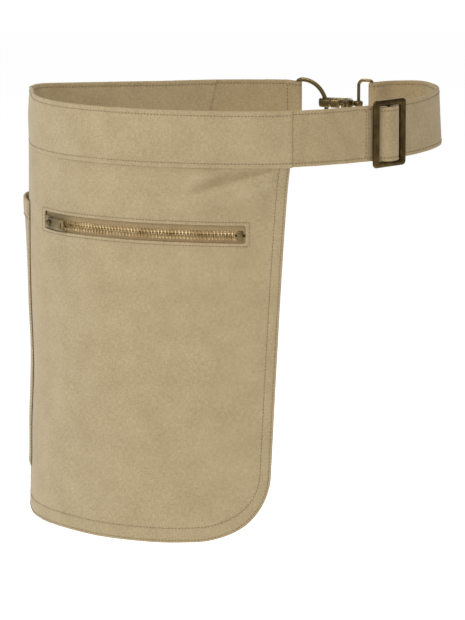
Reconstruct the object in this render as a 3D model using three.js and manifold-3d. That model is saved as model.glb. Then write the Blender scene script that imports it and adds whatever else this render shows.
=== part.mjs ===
// Waist apron in khaki cotton twill, in its worn form, in millimetres with +Z up.
// The origin is the middle of the waist loop, at half the waistband's height.
// The near side, with the zip pocket, faces -Y, and the far side faces +Y.
import * as THREE from 'three';
import { mergeVertices } from 'three/addons/utils/BufferGeometryUtils.js';
import Module from 'manifold-3d';

const wasm = await Module();
wasm.setup();

// Gap kept between pieces that lie against each other
const CLEAR = 0.35;

// Waist loop, measured on the middle of the cloth
const LOOP_WIDTH = 373;
const LOOP_DEPTH = 216;
const STRAP_WIDTH = 50;
const BAND_HEIGHT = STRAP_WIDTH + 1;
const BAND_WALL = 2.6;
const BAND_TOP = BAND_HEIGHT / 2;
const BAND_BOTTOM = -BAND_HEIGHT / 2;

// The waist line seen from above, as shares of half the loop's width and depth.
// It starts at the left turn and runs along the near side.
const WAIST_LINE = [
  { place: 'left turn', across: -1.0, back: 0.38 },
  { place: 'left front', across: -0.955, back: -0.02 },
  { place: 'zip start', across: -0.816, back: -0.423 },
  { place: 'front left', across: -0.52, back: -0.775 },
  { place: 'front middle left', across: -0.23, back: -0.935 },
  { place: 'front middle', across: 0.06, back: -1.0 },
  { place: 'band end', across: 0.3, back: -0.955 },
  { place: 'front right', across: 0.507, back: -0.79 },
  { place: 'adjuster', across: 0.735, back: -0.525 },
  { place: 'right front', across: 0.905, back: -0.16 },
  { place: 'right turn', across: 1.005, back: 0.38 },
  { place: 'right back', across: 0.99, back: 0.7 },
  { place: 'back right corner', across: 0.935, back: 0.885 },
  { place: 'back right', across: 0.81, back: 0.895 },
  { place: 'ring', across: 0.69, back: 0.815 },
  { place: 'fold', across: 0.32, back: 0.955 },
  { place: 'back middle', across: 0.06, back: 1.0 },
  { place: 'back left', across: -0.43, back: 0.92 },
  { place: 'back far left', across: -0.8, back: 0.83 },
  { place: 'back left corner', across: -0.955, back: 0.77 },
  { place: 'left back', across: -0.995, back: 0.6 },
];

// Panel, with lengths measured along the waist line from the left turn
const PANEL_FRONT = 316;
const PANEL_BACK = 208;
const PANEL_DROP = 340;
const PANEL_WALL = 1.4;
const EDGE_START = 1.6;
const EDGE_TAPER = 20;
const PANEL_FLARE = 2.4;
const CORNER_RADIUS = 62;
const HEM_WIDTH = 10;
const HEM_WALL = 1.0;

// Soft folds below the waistband. Along is a share of PANEL_FRONT back from the panel's near edge,
// down is a share of PANEL_DROP, and rise and spread are shares of PANEL_WALL and PANEL_DROP.
const FOLD_FROM_HEM = 6;
const FOLD_FROM_ZIP = 4;
const FOLD_FADE = 14;
const FOLDS = [
  { fold: 'ridge', along: 0.09, down: 0.02, toAlong: 0.33, toDown: 0.1, rise: 1.3, spread: 0.022 },
  { fold: 'valley', along: 0.08, down: -0.01, toAlong: 0.27, toDown: 0.062, rise: -1.1, spread: 0.018 },
];

// Strap and its folded end at the D-ring
const STRAP_WALL = 1.6;
const STRAP_LEAN = 4;
const EDGE_SETTLE = 12;
const EXTENSION = 80;
const EXTENSION_RETURN = 30;
const ADJUSTER_FROM_BAND = 99;
const SEWN_END = 20;

// Slide adjuster
const ADJUSTER_WIDTH = 40.4;
const ADJUSTER_WINDOW = 49.6;
const ADJUSTER_BAR = 7.1;
const ADJUSTER_END_BAR = 5.6;
const ADJUSTER_DROP = 1.4;
const ADJUSTER_THICK = 3;
const ADJUSTER_CORNER = 4;
const MIDDLE_BAR = 3.2;
const MIDDLE_BAR_SUNK = 1.2;
const WINDOW_CORNER = 0.8;

// Rings and snap hook
const D_WIRE = 4;
const D_DEPTH = 28;
const D_INNER = 47.6;
const D_CORNER = 3.2;
const RING_WIRE = 3;
const RING_DEPTH = 13.1;
const RING_CORNER = 3;
const RING_FREE_CORNER = 5;
const RING_CLEAR = 0.7;
const HOOK_LENGTH = 31;
const HOOK_RAISE = 5.2;
const HOOK_WIDTH = 18;
const HOOK_ARM = 3.4;
const HOOK_THICK = 7.2;
const HOOK_BASE = 7;
const HOOK_CHAMFER = 1.5;
const HOOK_TIP = 4;
const STEM = 3;
const STEM_DEPTH = 3;
const GATE_PIN = 1.8;
const GATE_KNUCKLE = 2;
const KNUCKLE = 2.3;
const GATE_GAP = 0.6;
const EYE_HOLE = 4.2;
const EYE_WALL = 2.2;

// Zip pocket
const ZIP_FROM_EDGE = 41.5;
const ZIP_LENGTH = 208;
const ZIP_HALF_HEIGHT = 8;
const ZIP_BELOW_BAND = 59;
const TOOTH_PITCH = 3.2;
const TOOTH_WIDTH = 1.3;
const CHAIN_WIDTH = 8.2;
const CHAIN_DROP = 1.3;
const TOOTH_THICK = 2.6;
const TAPE_WIDTH = 9;
const TAPE_WALL = 1.0;
const TAPE_PAST_WINDOW = 2;
const SLIDER_LENGTH = 17;
const SLIDER_START = 0.8;
const SLIDER_MOUTH = 6;
const SLIDER_WIDTH = 12;
const SLIDER_PLATE = 1.2;
const SLIDER_POST = 4;
const PULL_FROM_NOSE = 9;
const PULL_LENGTH = 27;
const PULL_WIDTH = 10.5;
const PULL_THICK = 1.4;
const PULL_PIN = 1.7;
const PULL_CORNER = 1.6;
const PULL_HOLE = 4.6;
const PULL_SLOT = 1.8;
const PULL_SLOT_FROM_END = 5.4;
const STOP_LENGTH = 6;
const STOP_FROM_END = 2;
const STOP_PROUD = 0.4;
const BAG_DROP = 150;
const BAG_MARGIN = 12;
const BAG_WALL = 1.0;
const BAG_DEPTH = 4;

// Patch pocket
const PATCH_START = 20;
const PATCH_WIDTH = 172;
const PATCH_BELOW_BAND = 50;
const PATCH_DROP = 248;
const PATCH_WALL = 1.3;
const PATCH_RIM = 18;
const RIM_EXTRA = 0.9;
const MOUTH_SLACK = 10;
const LOW_SLACK = 0.8;

// Cloth and metal colours with their finish
const TWILL = { color: 0xb3a080, roughness: 0.92, metalness: 0 };
const STRAP_TWILL = { color: 0x9f8867, roughness: 0.92, metalness: 0 };
const DARK_BRASS = { color: 0x453320, roughness: 0.45, metalness: 0.9 };
const OLD_BRASS = { color: 0x76653f, roughness: 0.4, metalness: 0.9 };
const BRIGHT_BRASS = { color: 0xa8874f, roughness: 0.35, metalness: 0.95 };
const TAPE_CLOTH = { color: 0x9a8560, roughness: 0.95, metalness: 0 };

// Waist line with its length, position, tangent and outward normal
const waist = new THREE.CatmullRomCurve3(
  WAIST_LINE.map((row) => new THREE.Vector3(
    row.across * LOOP_WIDTH / 2,
    row.back * LOOP_DEPTH / 2,
    0,
  )),
  true,
  'centripetal',
);
waist.arcLengthDivisions = 2400;
const WAIST_LENGTH = waist.getLength();

function waistAt(s) {
  const share = ((s / WAIST_LENGTH) % 1 + 1) % 1;
  const point = waist.getPointAt(share);
  const tangent = waist.getTangentAt(share);
  return { x: point.x, y: point.y, tx: tangent.x, ty: tangent.y };
}

function onWaist(s, out, z) {
  const at = waistAt(s);
  return new THREE.Vector3(at.x + at.ty * out, at.y - at.tx * out, z);
}

// Stations along the waist line, closer together where it turns quickly
function stations(from, to) {
  const probe = 4;
  const sag = 0.1;
  const longest = 26;
  const list = [from];
  let s = from;
  while (s < to) {
    const a = waistAt(s);
    const b = waistAt(s + probe);
    const turn = Math.abs(Math.atan2(a.tx * b.ty - a.ty * b.tx, a.tx * b.tx + a.ty * b.ty));
    const radius = probe / Math.max(turn, 1e-4);
    s += Math.min(Math.max(Math.sqrt(8 * sag * radius), probe), longest);
    list.push(s);
  }
  const stretch = (to - from) / (s - from);
  return list.map((value) => from + (value - from) * stretch);
}

// The same stations for every piece that lies on the panel, so that their faces stay parallel
function between(from, to) {
  return [from, ...PANEL_STATIONS.filter((s) => s > from + 1 && s < to - 1), to];
}

function smooth(share) {
  const t = Math.min(Math.max(share, 0), 1);
  return t * t * (3 - 2 * t);
}

// Height of the soft folds at a place on the panel
function drape(s, z) {
  const along = (PANEL_FRONT - s) / PANEL_FRONT;
  const down = (BAND_BOTTOM - z) / PANEL_DROP;
  const seam = smooth(down / 0.02);
  const hem = smooth((along * PANEL_FRONT - HEM_WIDTH - FOLD_FROM_HEM) / FOLD_FADE);
  const zip = smooth((z - zipHeight() - ZIP_HALF_HEIGHT - FOLD_FROM_ZIP) / FOLD_FADE);
  let out = 0;
  for (const row of FOLDS) {
    const length = Math.hypot(
      (row.toAlong - row.along) * PANEL_FRONT,
      (row.toDown - row.down) * PANEL_DROP,
    );
    const dx = (row.toAlong - row.along) * PANEL_FRONT / length;
    const dy = (row.toDown - row.down) * PANEL_DROP / length;
    const px = (along - row.along) * PANEL_FRONT;
    const py = (down - row.down) * PANEL_DROP;
    const run = (px * dx + py * dy) / length;
    const off = (py * dx - px * dy) / (row.spread * PANEL_DROP);
    const ends = smooth((run + 0.2) / 0.3) * smooth((1.15 - run) / 0.5);
    out += row.rise * PANEL_WALL * ends * Math.exp(-off * off);
  }
  return out * seam * hem * zip;
}

function onPanel(s, z, out) {
  const flare = PANEL_FLARE * Math.max(BAND_BOTTOM - z, 0) / PANEL_DROP;
  return onWaist(s, out + flare + drape(s, z), z);
}

function zipHeight() {
  return BAND_BOTTOM - ZIP_BELOW_BAND;
}

// Geometry helpers
function outwards(geometry) {
  const position = geometry.attributes.position;
  const index = geometry.index.array;
  const [a, b, c] = [new THREE.Vector3(), new THREE.Vector3(), new THREE.Vector3()];
  let volume = 0;
  for (let i = 0; i < index.length; i += 3) {
    a.fromBufferAttribute(position, index[i]);
    b.fromBufferAttribute(position, index[i + 1]);
    c.fromBufferAttribute(position, index[i + 2]);
    volume += a.dot(b.cross(c));
  }
  if (volume < 0) {
    for (let i = 0; i < index.length; i += 3) {
      [index[i + 1], index[i + 2]] = [index[i + 2], index[i + 1]];
    }
  }
  return geometry;
}

function fromLists(points, index) {
  const geometry = new THREE.BufferGeometry();
  const flat = points.flatMap((point) => [point.x, point.y, point.z]);
  geometry.setAttribute('position', new THREE.Float32BufferAttribute(flat, 3));
  geometry.setIndex(index);
  return outwards(geometry);
}

// A closed wall over a grid. Face 0 is one side of the wall and face 1 the other.
function wallGeometry(columns, rows, pointAt) {
  const points = [];
  const index = [];
  const at = (i, j, face) => (face * (rows + 1) + j) * (columns + 1) + i;
  const quad = (a, b, c, d) => index.push(a, b, c, a, c, d);
  for (const face of [0, 1]) {
    for (let j = 0; j <= rows; j += 1) {
      for (let i = 0; i <= columns; i += 1) points.push(pointAt(i, j, face));
    }
  }
  for (let i = 0; i < columns; i += 1) {
    for (let j = 0; j < rows; j += 1) {
      quad(at(i, j, 1), at(i + 1, j, 1), at(i + 1, j + 1, 1), at(i, j + 1, 1));
      quad(at(i, j + 1, 0), at(i + 1, j + 1, 0), at(i + 1, j, 0), at(i, j, 0));
    }
    quad(at(i, 0, 0), at(i + 1, 0, 0), at(i + 1, 0, 1), at(i, 0, 1));
    quad(at(i, rows, 1), at(i + 1, rows, 1), at(i + 1, rows, 0), at(i, rows, 0));
  }
  for (let j = 0; j < rows; j += 1) {
    quad(at(0, j, 0), at(0, j, 1), at(0, j + 1, 1), at(0, j + 1, 0));
    quad(at(columns, j, 1), at(columns, j, 0), at(columns, j + 1, 0), at(columns, j + 1, 1));
  }
  return fromLists(points, index);
}

function toSolid(geometry) {
  const bare = geometry.clone();
  bare.deleteAttribute('normal');
  bare.deleteAttribute('uv');
  const welded = mergeVertices(bare, 1e-4);
  return new wasm.Manifold(new wasm.Mesh({
    numProp: 3,
    vertProperties: new Float32Array(welded.attributes.position.array),
    triVerts: new Uint32Array(welded.index.array),
  }));
}

function toGeometry(solid) {
  const mesh = solid.getMesh();
  const geometry = new THREE.BufferGeometry();
  geometry.setAttribute('position', new THREE.BufferAttribute(mesh.vertProperties, 3));
  geometry.setIndex(new THREE.BufferAttribute(mesh.triVerts, 1));
  return geometry;
}

function common(first, second) {
  return toGeometry(toSolid(first).intersect(toSolid(second)));
}

function join(...geometries) {
  return toGeometry(geometries.map(toSolid).reduce((whole, piece) => whole.add(piece)));
}

function cut(geometry, ...tools) {
  return toGeometry(tools.map(toSolid).reduce((left, tool) => left.subtract(tool), toSolid(geometry)));
}

function box(x, y, z) {
  const size = [x, y, z].map(([low, high]) => high - low);
  const middle = [x, y, z].map(([low, high]) => (high + low) / 2);
  return new THREE.BoxGeometry(...size).translate(...middle);
}

function arc(cx, cy, rx, ry, from, to, steps) {
  const points = [];
  for (let i = 0; i <= steps; i += 1) {
    const angle = from + (to - from) * i / steps;
    points.push(new THREE.Vector2(cx + rx * Math.cos(angle), cy + ry * Math.sin(angle)));
  }
  return points;
}

function roundedRectangle(width, height, radius) {
  const x = width / 2 - radius;
  const y = height / 2 - radius;
  const quarter = Math.PI / 2;
  return [
    ...arc(x, y, radius, radius, 0, quarter, 4),
    ...arc(-x, y, radius, radius, quarter, 2 * quarter, 4),
    ...arc(-x, -y, radius, radius, 2 * quarter, 3 * quarter, 4),
    ...arc(x, -y, radius, radius, 3 * quarter, 4 * quarter, 4),
  ];
}

function plate(outline, thickness, holes = []) {
  const shape = new THREE.Shape(outline);
  shape.holes = holes.map((hole) => new THREE.Path(hole));
  return new THREE.ExtrudeGeometry(shape, { depth: thickness, bevelEnabled: false, steps: 1 });
}

// A round wire bent into a closed loop in the local XZ plane
function closedWire(outline, diameter, sides) {
  const points = [];
  const index = [];
  const count = outline.length;
  outline.forEach((point, i) => {
    const before = outline[(i + count - 1) % count].clone().sub(point).normalize().negate();
    const after = outline[(i + 1) % count].clone().sub(point).normalize();
    const along = before.clone().add(after).normalize();
    const mitre = 1 / Math.max(along.dot(after), 0.5);
    for (let j = 0; j < sides; j += 1) {
      const angle = 2 * Math.PI * (j + 0.5) / sides;
      const side = Math.cos(angle) * diameter / 2 * mitre;
      points.push(new THREE.Vector3(
        point.x + along.y * side,
        Math.sin(angle) * diameter / 2,
        point.y - along.x * side,
      ));
      const next = (i + 1) % count;
      const a = i * sides + j;
      const b = i * sides + (j + 1) % sides;
      const c = next * sides + (j + 1) % sides;
      const d = next * sides + j;
      index.push(a, b, c, a, c, d);
    }
  });
  return fromLists(points, index);
}

// A ribbon standing on edge. Its line is a list of places {s, out} beside the waist line.
function ribbonGeometry(line, wall, placeAt) {
  const fine = [line[0]];
  for (let i = 1; i < line.length; i += 1) {
    const [a, b] = [line[i - 1], line[i]];
    const steps = stations(Math.min(a.s, b.s), Math.max(a.s, b.s)).slice(1, -1);
    if (b.s < a.s) steps.reverse();
    if (Math.abs(b.s - a.s) > 8) {
      for (const s of steps) {
        const share = smooth((s - a.s) / (b.s - a.s));
        fine.push({ s, out: a.out + (b.out - a.out) * share });
      }
    }
    fine.push(b);
  }
  const normals = fine.map((place, i) => {
    const a = fine[Math.max(i - 1, 0)];
    const b = fine[Math.min(i + 1, fine.length - 1)];
    const before = Math.atan2(place.out - a.out, place.s - a.s);
    const after = Math.atan2(b.out - place.out, b.s - place.s);
    const first = i === 0 ? after : before;
    const last = i === fine.length - 1 ? before : after;
    const turn = Math.atan2(Math.sin(last - first), Math.cos(last - first)) / 2;
    const length = wall / 2 / Math.cos(turn);
    return { s: -Math.sin(first + turn) * length, out: Math.cos(first + turn) * length };
  });
  return wallGeometry(fine.length - 1, 1, (i, j, face) => {
    const side = face === 0 ? -1 : 1;
    return placeAt(fine[i].s + side * normals[i].s, fine[i].out + side * normals[i].out, j);
  });
}

function turnAt(s, out, radius, from, to, steps = 8) {
  return arc(s, out, radius, radius, from, to, steps).map((point) => ({ s: point.x, out: point.y }));
}

// Place where a straight line from outside touches a circle, over its top for side 1
function touching(from, centre, radius, side) {
  const distance = Math.hypot(from.s - centre.s, from.out - centre.out);
  const angle = Math.atan2(from.out - centre.out, from.s - centre.s);
  return angle + side * Math.acos(radius / distance);
}

const PANEL_STATIONS = stations(-PANEL_BACK, PANEL_FRONT);
const BLOCK_DEPTH = 12;
const PAST_EDGE = 1;

// Waistband: doubled cloth whose lower edge sits on the panel's top edge
function waistband() {
  return wallGeometry(PANEL_STATIONS.length - 1, 1, (i, j, face) => onWaist(
    PANEL_STATIONS[i],
    (face - 0.5) * BAND_WALL,
    j === 0 ? BAND_BOTTOM : BAND_TOP,
  ));
}

// Panel outline: how far its edge has come in at a height, for the outline or one inside it
const PANEL_TOP = BAND_BOTTOM - CLEAR;
const PANEL_BOTTOM = BAND_BOTTOM - PANEL_DROP;

function edgeInset(z, margin) {
  const down = Math.max(BAND_BOTTOM - z, 0) / PANEL_DROP;
  const radius = CORNER_RADIUS - margin;
  const rise = Math.min(Math.max(z - PANEL_BOTTOM - margin, 0), radius);
  const corner = radius - Math.sqrt(radius ** 2 - (radius - rise) ** 2);
  return EDGE_START + EDGE_TAPER * down ** 0.75 + corner + margin;
}

// A thick block round the panel's wall, with the panel's outline moved in by a margin
function outlineBlock(margin, top) {
  const radius = CORNER_RADIUS - margin;
  const cornerSteps = 8;
  const sideSteps = 7;
  const heights = [];
  for (let i = 0; i < cornerSteps; i += 1) {
    const angle = Math.PI / 2 * i / cornerSteps;
    heights.push(PANEL_BOTTOM + margin + radius * (1 - Math.cos(angle)));
  }
  const low = PANEL_BOTTOM + margin + radius;
  for (let i = 0; i <= sideSteps; i += 1) heights.push(low + (top - low) * i / sideSteps);
  return wallGeometry(PANEL_STATIONS.length - 1, heights.length - 1, (i, j, face) => {
    const inset = edgeInset(heights[j], margin);
    const share = (PANEL_STATIONS[i] + PANEL_BACK) / (PANEL_FRONT + PANEL_BACK);
    const s = -PANEL_BACK + inset + (PANEL_FRONT + PANEL_BACK - 2 * inset) * share;
    return onWaist(s, (face - 0.5) * BLOCK_DEPTH, heights[j]);
  });
}

function panelSheet(heights, back, front) {
  return wallGeometry(PANEL_STATIONS.length - 1, heights.length - 1, (i, j, face) => onPanel(
    PANEL_STATIONS[i],
    heights[j],
    face === 0 ? back : front,
  ));
}

function panelBlock({ from, to, low, high, back, front, columns = between(from, to) }) {
  return wallGeometry(columns.length - 1, 1, (i, j, face) => onPanel(
    columns[i],
    j === 0 ? low : high,
    face === 0 ? back : front,
  ));
}

const ZIP_FROM = PANEL_FRONT - ZIP_FROM_EDGE - ZIP_LENGTH;
const ZIP_TO = ZIP_FROM + ZIP_LENGTH;

function panel() {
  const zipTop = zipHeight() + ZIP_HALF_HEIGHT;
  const foldRows = 6;
  const heights = [PANEL_BOTTOM - PAST_EDGE];
  for (let i = 0; i <= foldRows; i += 1) heights.push(zipTop + (PANEL_TOP - zipTop) * i / foldRows);
  const sheet = panelSheet(heights, -PANEL_WALL / 2, PANEL_WALL / 2);
  const window = panelBlock({
    from: ZIP_FROM,
    to: ZIP_TO,
    low: zipHeight() - ZIP_HALF_HEIGHT,
    high: zipTop,
    back: -PANEL_WALL * 2,
    front: PANEL_WALL * 2,
  });
  return cut(common(sheet, outlineBlock(0, PANEL_TOP + PAST_EDGE)), window);
}

// Hem facing: a strip inside the panel's sides, corners and lower edge
function hemFacing() {
  const front = -PANEL_WALL / 2 - CLEAR;
  const strip = panelSheet([PANEL_BOTTOM - PAST_EDGE, PANEL_TOP], front - HEM_WALL, front);
  const whole = common(strip, outlineBlock(0, PANEL_TOP + PAST_EDGE));
  return cut(whole, outlineBlock(HEM_WIDTH, PANEL_TOP + 2 * PAST_EDGE));
}

// Patch pocket: sewn along its sides and foot, with a mouth that stands open
function patchSlack(s, z) {
  const across = (PATCH_START - s) / PATCH_WIDTH;
  const down = (BAND_BOTTOM - PATCH_BELOW_BAND - z) / PATCH_DROP;
  const open = LOW_SLACK + (MOUTH_SLACK - LOW_SLACK) * (1 - smooth(down / 0.3));
  const belly = Math.sin(Math.PI * Math.min(Math.max(across, 0), 1)) ** 1.2;
  return belly * open * smooth((1 - down) / 0.08);
}

function patchPocket() {
  const top = BAND_BOTTOM - PATCH_BELOW_BAND;
  const bottom = top - PATCH_DROP;
  const rimStep = 0.6;
  const heights = [0, 0.04, 0.1, 0.25, 0.45, 0.65, 0.8].map((share) => bottom + share * PATCH_DROP);
  heights.push(top - PATCH_RIM - rimStep, top - PATCH_RIM, top - PATCH_RIM / 2, top);
  const columns = between(PATCH_START - PATCH_WIDTH, PATCH_START);
  return wallGeometry(columns.length - 1, heights.length - 1, (i, j, face) => {
    const s = columns[i];
    const z = heights[j];
    const inside = PANEL_WALL / 2 + CLEAR + patchSlack(s, z);
    const rim = z >= top - PATCH_RIM ? RIM_EXTRA : 0;
    return onPanel(s, z, inside + face * (PATCH_WALL + rim));
  });
}

// Zip pocket bag: one more layer of cloth behind the panel, sewn round its edge
function zipPocketBag() {
  const top = zipHeight() + BAG_MARGIN + ZIP_HALF_HEIGHT;
  const bottom = zipHeight() - BAG_DROP;
  const steps = [0, 0.03, 0.08, 0.3, 0.55, 0.75, 0.9, 0.95, 1];
  const heights = steps.map((share) => bottom + share * (top - bottom));
  const from = ZIP_FROM - BAG_MARGIN;
  const to = ZIP_TO + BAG_MARGIN;
  const columns = between(from, to);
  return wallGeometry(columns.length - 1, heights.length - 1, (i, j, face) => {
    const side = Math.min(columns[i] - from, to - columns[i]);
    const end = Math.min(heights[j] - bottom, top - heights[j]);
    const depth = BAG_DEPTH * smooth(Math.min(side, end) / (BAG_MARGIN * 0.8));
    const front = -PANEL_WALL / 2 - CLEAR - depth;
    return onPanel(columns[i], heights[j], front - (1 - face) * BAG_WALL);
  });
}

// Zip: tapes behind the window, teeth rows between them
const TAPE_FRONT = -PANEL_WALL / 2 - CLEAR;
const CHAIN_FRONT = TAPE_FRONT - TAPE_WALL / 2 + TOOTH_THICK / 2;
const CHAIN_BACK = CHAIN_FRONT - TOOTH_THICK;
const BEAD = 1.2;
const TOOTH_HEAD = 0.8;
const TAPE_INNER = CHAIN_WIDTH / 2 + CLEAR;
const SLIDER_FROM = ZIP_FROM + SLIDER_START;
const CHAIN_FROM = SLIDER_FROM + SLIDER_MOUTH;
const STOP_TO = ZIP_TO - STOP_FROM_END;
const CHAIN_TO = STOP_TO - STOP_LENGTH - CLEAR;

const CHAIN_Z = zipHeight() - CHAIN_DROP;

function zipTape(side) {
  const inner = side * TAPE_INNER;
  const outer = side * (TAPE_INNER + TAPE_WIDTH);
  return panelBlock({
    from: ZIP_FROM - TAPE_PAST_WINDOW,
    to: ZIP_TO + TAPE_PAST_WINDOW,
    low: CHAIN_Z + Math.min(inner, outer),
    high: CHAIN_Z + Math.max(inner, outer),
    back: TAPE_FRONT - TAPE_WALL,
    front: TAPE_FRONT,
  });
}

// One row of teeth on its bead, with the other row's teeth in its gaps
function zipTeeth(side) {
  const count = Math.floor((CHAIN_TO - CHAIN_FROM) / TOOTH_PITCH - 0.5);
  const first = CHAIN_FROM + (side > 0 ? 0 : TOOTH_PITCH / 2);
  const row = (from, to, inner, outer) => panelBlock({
    from,
    to,
    low: CHAIN_Z + Math.min(side * inner, side * outer),
    high: CHAIN_Z + Math.max(side * inner, side * outer),
    back: CHAIN_BACK,
    front: CHAIN_FRONT,
  });
  const beadInner = CHAIN_WIDTH / 2 - BEAD;
  const last = first + (count - 1) * TOOTH_PITCH + TOOTH_WIDTH;
  const teeth = Array.from({ length: count }, (_, i) => {
    const from = first + i * TOOTH_PITCH;
    return row(from, from + TOOTH_WIDTH, -TOOTH_HEAD, beadInner + BEAD / 2);
  });
  return join(row(first, last, beadInner, CHAIN_WIDTH / 2), ...teeth);
}

function zipStop() {
  return panelBlock({
    from: STOP_TO - STOP_LENGTH,
    to: STOP_TO,
    low: CHAIN_Z - CHAIN_WIDTH / 2,
    high: CHAIN_Z + CHAIN_WIDTH / 2,
    back: CHAIN_BACK - STOP_PROUD,
    front: CHAIN_FRONT + STOP_PROUD,
    columns: [STOP_TO - STOP_LENGTH, STOP_TO],
  });
}

// Slider: two plates round the chain, a post between them and an arch for the pull
const PLATE_BACK = CHAIN_FRONT + CLEAR;
const PLATE_FRONT = PLATE_BACK + SLIDER_PLATE;
const PIN_S = SLIDER_FROM + PULL_FROM_NOSE;
const PIN_OUT = PLATE_FRONT + CLEAR + 0.1 + PULL_PIN / 2;
const ARCH_REACH = 3;
const ARCH_LEG = 1;
const ARCH_HIGH = 2.7;
const ARCH_WIDTH = 3;

function localFrame(s, out, z) {
  const at = waistAt(s);
  const group = new THREE.Group();
  group.position.copy(onPanel(s, z, out));
  group.rotation.z = Math.atan2(at.ty, at.tx);
  return group;
}

function zipSlider(pinFrame) {
  const half = SLIDER_WIDTH / 2;
  const front = panelBlock({
    from: SLIDER_FROM,
    to: SLIDER_FROM + SLIDER_LENGTH,
    low: CHAIN_Z - half,
    high: CHAIN_Z + half,
    back: PLATE_BACK,
    front: PLATE_FRONT,
  });
  const back = panelBlock({
    from: SLIDER_FROM,
    to: SLIDER_FROM + SLIDER_LENGTH,
    low: CHAIN_Z - half,
    high: CHAIN_Z + half,
    back: CHAIN_BACK - CLEAR - SLIDER_PLATE,
    front: CHAIN_BACK - CLEAR,
  });
  const post = panelBlock({
    from: SLIDER_FROM + 1.5,
    to: CHAIN_FROM - 1.2,
    low: CHAIN_Z - SLIDER_POST / 2,
    high: CHAIN_Z + SLIDER_POST / 2,
    back: CHAIN_BACK - CLEAR - SLIDER_PLATE / 2,
    front: PLATE_BACK + SLIDER_PLATE / 2,
  });
  const foot = PLATE_FRONT - PIN_OUT - SLIDER_PLATE / 2;
  const arch = cut(
    box([-ARCH_REACH, ARCH_REACH], [-ARCH_HIGH, -foot], [-ARCH_WIDTH / 2, ARCH_WIDTH / 2]),
    box(
      [-ARCH_REACH + ARCH_LEG, ARCH_REACH - ARCH_LEG],
      [-ARCH_HIGH + ARCH_LEG, -foot + 1],
      [-ARCH_WIDTH, ARCH_WIDTH],
    ),
  );
  pinFrame.updateMatrixWorld();
  arch.applyMatrix4(pinFrame.matrixWorld);
  return join(front, back, post, arch);
}

function zipPull() {
  const tail = roundedRectangle(PULL_LENGTH + PULL_PIN / 2, PULL_WIDTH, PULL_CORNER)
    .map((point) => new THREE.Vector2(point.x + (PULL_LENGTH - PULL_PIN / 2) / 2, point.y));
  const inner = ARCH_WIDTH / 2 + 0.5;
  const hole = [
    new THREE.Vector2(PULL_PIN / 2, -inner),
    new THREE.Vector2(PULL_HOLE, -inner),
    new THREE.Vector2(PULL_HOLE, inner),
    new THREE.Vector2(PULL_PIN / 2, inner),
  ];
  const slotAt = PULL_LENGTH - PULL_SLOT_FROM_END;
  const slot = roundedRectangle(PULL_SLOT, PULL_WIDTH / 2, PULL_SLOT * 0.4)
    .map((point) => new THREE.Vector2(point.x + slotAt, point.y));
  return plate(tail, PULL_THICK, [hole, slot])
    .rotateX(Math.PI / 2)
    .translate(0, PULL_THICK / 2, 0);
}

// Strap: heights of its edges and the lean of its lower edge round the right turn
const STRAP_TOP = BAND_TOP;
const STRAP_BOTTOM = STRAP_TOP - STRAP_WIDTH;
const STRAP_MIDDLE = (STRAP_TOP + STRAP_BOTTOM) / 2;
const ADJUSTER_AT = PANEL_FRONT + ADJUSTER_FROM_BAND;
const FOLD_BEFORE = EXTENSION + PANEL_BACK;
const D_FOLD = STRAP_WALL / 2 + CLEAR + D_WIRE / 2;
const RING_FOLD = STRAP_WALL / 2 + CLEAR + RING_WIRE / 2;
const D_BAR_AT = -FOLD_BEFORE + D_FOLD;
const CLOSURE_REACH = D_DEPTH + HOOK_LENGTH + RING_DEPTH;

// The rectangular ring's bar lies where the rings and the hook reach from the D-ring's bar
function ringBarAt() {
  const start = onWaist(D_BAR_AT, D_FOLD, 0);
  let near = D_BAR_AT - CLOSURE_REACH * 0.8;
  let far = D_BAR_AT - CLOSURE_REACH * 1.3;
  for (let i = 0; i < 40; i += 1) {
    const middle = (near + far) / 2;
    const reach = onWaist(middle, -RING_FOLD, 0).distanceTo(start);
    if (reach < CLOSURE_REACH) near = middle;
    else far = middle;
  }
  return near + WAIST_LENGTH;
}
const RING_BAR_AT = ringBarAt();

// How much the strap follows the adjuster's window and the D-ring's height at a place
function narrowing(s) {
  const fromAdjuster = Math.abs(s - ADJUSTER_AT) - ADJUSTER_WIDTH / 2 + ADJUSTER_BAR;
  const fromFold = s - D_BAR_AT;
  return { adjuster: smooth(1 - fromAdjuster / ADJUSTER_BAR), ring: smooth(1 - fromFold / EDGE_SETTLE) };
}

function strapPlace(s, out, j) {
  const share = (s - ADJUSTER_AT - ADJUSTER_WIDTH / 2) / (RING_BAR_AT - ADJUSTER_AT - ADJUSTER_WIDTH);
  const lean = STRAP_LEAN * Math.sin(Math.PI * Math.min(Math.max(share, 0), 1)) ** 2;
  const side = j === 0 ? -1 : 1;
  const narrow = narrowing(s);
  const inWindow = side * (ADJUSTER_WINDOW / 2 - CLEAR) - ADJUSTER_DROP;
  const inRing = side * (D_INNER / 2 - CLEAR);
  const free = side * STRAP_WIDTH / 2;
  const height = free + (inWindow - free) * narrow.adjuster + (inRing - free) * narrow.ring;
  return onWaist(s, out + (1 - j) * lean, STRAP_MIDDLE + height);
}

const ADJUSTER_BACK = STRAP_WALL / 2 + CLEAR + 0.1;
const MIDDLE_OUT = ADJUSTER_BACK + ADJUSTER_THICK / 2 - MIDDLE_BAR_SUNK;

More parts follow.
